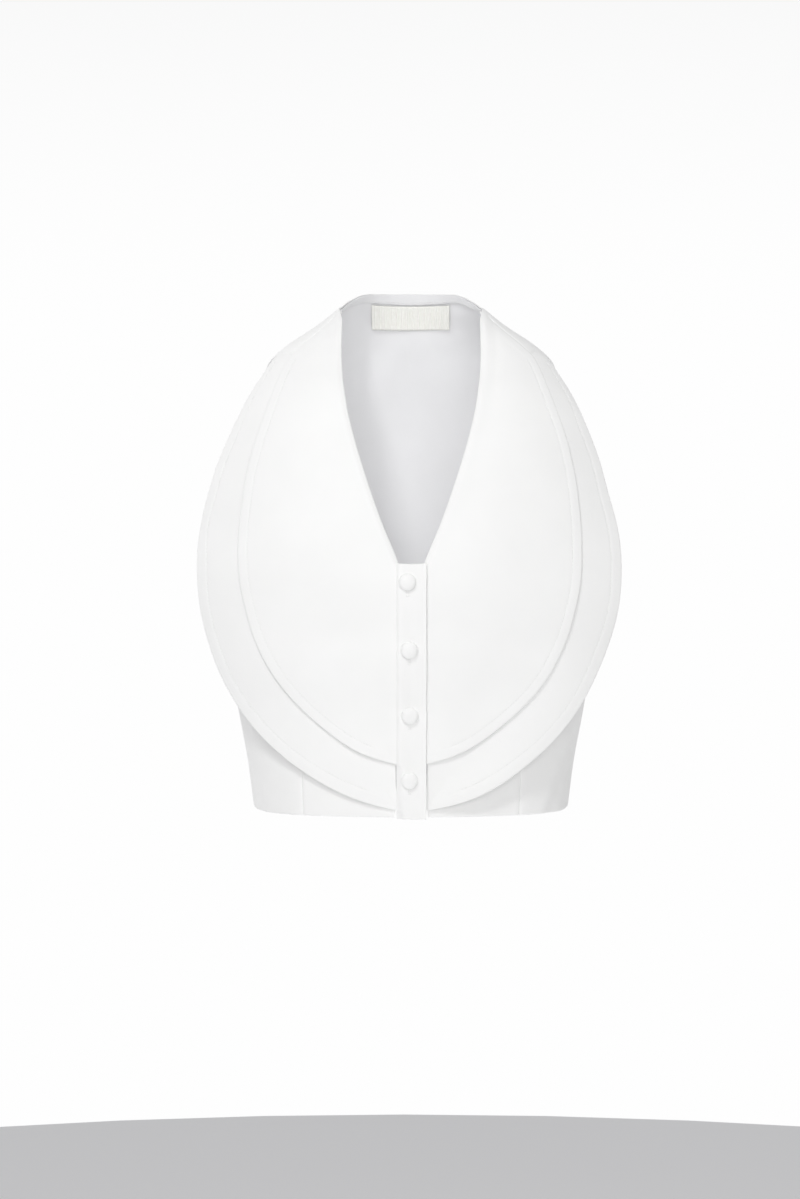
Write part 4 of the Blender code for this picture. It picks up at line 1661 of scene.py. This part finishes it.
# %% Facing
FACING_WALL = 0.0010
FACING_COLUMNS = 38
FACING_ROWS = 7
FACING_TOP = 0.0018
FACING_SHARE = 0.0548
FACING_STITCHES = 40
STITCH_LINE_END = 0.97
STITCH_LINE_DOWN = 0.80
FACING_STITCH_PART = 0.75
FACING_STITCH_LIFT = 0.00015


def facing_place(column, row):
    side = 1 if column >= FACING_COLUMNS else -1
    across = min(abs(column - FACING_COLUMNS) / FACING_COLUMNS, 1.0) * NECK_SHARE
    down = mix(FACING_TOP, FACING_SHARE, row / FACING_ROWS)
    return cloth_point(body_creases, side, *on_back(across, down), FACING)


# The facing gets the darker copy of the crepe: painted shade inside the neck.
facing = lay_sheet(
    "neck_facing", 2 * FACING_COLUMNS, FACING_ROWS, facing_place, FACING_WALL, shaded_inside_crepe,
)
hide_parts("back_neck_facing")


def facing_stitches():
    bm = bmesh.new()
    lay = Lay(FACING.away - FACING_WALL, 0, 0)
    points = []
    for step in range(-FACING_STITCHES, FACING_STITCHES + 1):
        side = 1 if step >= 0 else -1
        across = abs(step) / FACING_STITCHES * NECK_SHARE * STITCH_LINE_END
        pair = on_back(across, mix(FACING_TOP, FACING_SHARE, STITCH_LINE_DOWN))
        points.append((cloth_point(body_creases, side, *pair, lay), pair, side))
    for (start, pair, side), (end, _, _) in zip(points, points[1:]):
        outward = -form_normal(*pair, 0)
        outward.x *= side
        middle = (start + end) / 2 + outward * FACING_STITCH_LIFT
        add_stitch(bm, middle, end - start, outward, FACING_STITCH_PART * (end - start).length)
    mesh_object("facing_stitches", bm, thread)


facing_stitches()
print("facing", round(measured["neck_facing"].area, 4), "square metres")

# %% [markdown]
# ## The label
#
# A short length of ivory ribbon with both ends folded under, sewn below the facing. Its face is left bare.
# The ribs are raised in the mesh, and each folded end is one ribbon thicker.

# %% Label
LABEL_LEFT = -0.0345
LABEL_RIGHT = 0.0350
LABEL_TOP = 0.0072
LABEL_BOTTOM = -0.0132
LABEL_WALL = 0.0006
LABEL_COLUMNS = 168
LABEL_ROWS = 14
RIB_PITCH = 0.0022
RIB_DEPTH = 0.00020
FOLD = 0.0052
FOLD_STEP = 0.0003
FOLD_REACH = 0.0008
SAG = 0.0004
SAG_LENGTH = 0.035


def back_angle_of(x, height, lay):
    """The angle on the back at which a sheet is x from the centre."""
    low, high = -90.0, 0.0
    for _ in range(18):
        middle = (low + high) / 2
        if moved_out(middle, height, lay).x < x:
            low = middle
        else:
            high = middle
    return low


def label_place(column, row):
    x = mix(LABEL_LEFT, LABEL_RIGHT, column / LABEL_COLUMNS)
    height = mix(LABEL_TOP, LABEL_BOTTOM, row / LABEL_ROWS)
    side = 1 if x >= 0 else -1
    end = min(x - LABEL_LEFT, LABEL_RIGHT - x)
    fold = FOLD_STEP * (1 - ease((end - FOLD) / FOLD_REACH))
    rib = RIB_DEPTH * math.cos(math.tau * x / RIB_PITCH)
    sag = SAG * math.sin(math.pi * (x - LABEL_LEFT) / SAG_LENGTH) * (row / LABEL_ROWS)
    angle = back_angle_of(abs(x), height, LABEL)
    return cloth_point(body_creases, side, angle, height, LABEL, -(fold + rib + sag))


label = lay_sheet(
    "woven_label", LABEL_COLUMNS, LABEL_ROWS, label_place, LABEL_WALL, ribbon,
    facing=-1,
)
label.modifiers.remove(label.modifiers["rounded edges"])
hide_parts("label")
print("label", round(measured["woven_label"].area, 5), "square metres")

# %% [markdown]
# ## Cut sizes
#
# For every sheet the size it was cut to is printed, without its seam allowances. That is what the laid
# grid measured: its widest row, its middle column and its area. The label's cut also has the two ends
# that are folded under.

Cut = namedtuple("Cut", "piece rests_on folded_ends")
CUTS = (
    Cut("back", "shoulders", 0),
    Cut("centre_front_left_cloth", "shoulders", 0),
    Cut("centre_front_right_cloth", "shoulders", 0),
    Cut("side_front_left_cloth", "shoulders", 0),
    Cut("side_front_right_cloth", "shoulders", 0),
    Cut("lower_tier_left_cloth", "centre_front_left_cloth", 0),
    Cut("lower_tier_right_cloth", "centre_front_right_cloth", 0),
    Cut("upper_tier_left_cloth", "lower_tier_left_cloth", 0),
    Cut("upper_tier_right_cloth", "lower_tier_right_cloth", 0),
    Cut("placket_strip", "upper_tier_left_cloth", 0),
    Cut("stand_strip", "centre_front_right_cloth", 0),
    Cut("neck_facing", "back", 0),
    Cut("woven_label", "back", 2 * FOLD),
)
for cut in CUTS:
    laid = measured[cut.piece]
    width = laid.width + cut.folded_ends
    area = min(laid.area + cut.folded_ends * laid.length, width * laid.length)
    print(cut.piece, "cut", round(width, 4), "by", round(laid.length, 4), "area", round(area, 5))

# %% [markdown]
# ## Floor and light
#
# The garment is lit the way a catalogue does it: a white backdrop, one broad soft light in front at the
# height of the shoulders, and a smaller one high at the left, which leaves the right side of the body in
# a soft shade and draws a line under each tier. A weak light from behind shows the folds of the back, and
# another on the floor keeps the inside light. The floor is where a standing wearer's feet would be, 1.4
# metres below the shoulders.

# %% Studio
FLOOR_LEVEL = -1.4
FLOOR_RADIUS = 3.2


def studio_floor():
    made, tree = empty_material("pale_studio_floor")
    shader = add_node(
        tree, "ShaderNodeBsdfPrincipled",
        {"Base Color": linear("#F6F6F7"), "Roughness": 0.9, "Specular IOR Level": 0.1},
    )
    add_node(tree, "ShaderNodeOutputMaterial", {"Surface": shader.outputs["BSDF"]})
    bm = bmesh.new()
    bmesh.ops.create_circle(bm, cap_ends=True, segments=64, radius=FLOOR_RADIUS)
    bmesh.ops.translate(bm, verts=bm.verts, vec=(0.0, 0.0, FLOOR_LEVEL))
    mesh = bpy.data.meshes.new("floor")
    bm.to_mesh(mesh)
    bm.free()
    mesh.materials.append(made)
    floor = bpy.data.objects.new("floor", mesh)
    bpy.context.scene.collection.objects.link(floor)


def soft_light(name, place, target, size, watts, spread=180.0):
    """A round softbox. A spread below 180 degrees is a grid in front, which keeps light off the floor."""
    data = bpy.data.lights.new(name, "AREA")
    data.shape = "DISK"
    data.size = size
    data.energy = watts
    data.spread = math.radians(spread)
    light = bpy.data.objects.new(name, data)
    light.visible_camera = False
    light.location = place
    aim = Vector(target) - Vector(place)
    light.rotation_euler = aim.to_track_quat("-Z", "Y").to_euler()
    bpy.context.scene.collection.objects.link(light)


def studio_surround(backdrop, left, right, overhead):
    """A world that is bright behind the garment and dimmer at the right, overhead and in front."""
    world = bpy.data.worlds.new("studio")
    world.use_nodes = True
    tree = world.node_tree
    tree.nodes.clear()
    way = add_node(tree, "ShaderNodeTexCoord").outputs["Generated"]
    parts = add_node(tree, "ShaderNodeSeparateXYZ", {"Vector": way})
    shares = {}
    for axis, low, high in (("X", -0.7, 0.7), ("Y", 0.1, 0.7), ("Z", 0.1, 0.9)):
        shares[axis] = add_node(
            tree, "ShaderNodeMapRange",
            {"Value": parts.outputs[axis], "From Min": low, "From Max": high},
            interpolation_type="SMOOTHSTEP",
        ).outputs["Result"]
    room = add_node(
        tree, "ShaderNodeMix",
        {"Factor": shares["X"], "A": linear(left), "B": linear(right)}, data_type="RGBA",
    )
    lit = add_node(
        tree, "ShaderNodeMix",
        {"Factor": shares["Y"], "A": room.outputs["Result"], "B": linear(backdrop)},
        data_type="RGBA",
    )
    whole = add_node(
        tree, "ShaderNodeMix",
        {"Factor": shares["Z"], "A": lit.outputs["Result"], "B": linear(overhead)},
        data_type="RGBA",
    )
    glow = add_node(tree, "ShaderNodeBackground", {"Color": whole.outputs["Result"], "Strength": 1.0})
    add_node(tree, "ShaderNodeOutputWorld", {"Surface": glow.outputs["Background"]})
    bpy.context.scene.world = world


studio_floor()
soft_light("front_light", (0.15, -3.0, 0.05), (0.0, 0.0, -0.25), 1.5, 6.5, spread=90.0)
soft_light("key_light", (-0.7, -2.2, 1.8), (0.0, 0.0, -0.25), 0.45, 5.6, spread=90.0)
soft_light("back_light", (-2.2, 1.6, 0.9), (0.0, 0.1, -0.2), 0.6, 3.2, spread=90.0)
soft_light("floor_light", (0.0, 0.0, -1.35), (0.0, 0.0, 0.0), 0.7, 3.0)
studio_surround(backdrop="#FEFEFE", left="#C9C9CA", right="#C4C4C4", overhead="#B4B4B5")
print("floor at", FLOOR_LEVEL)
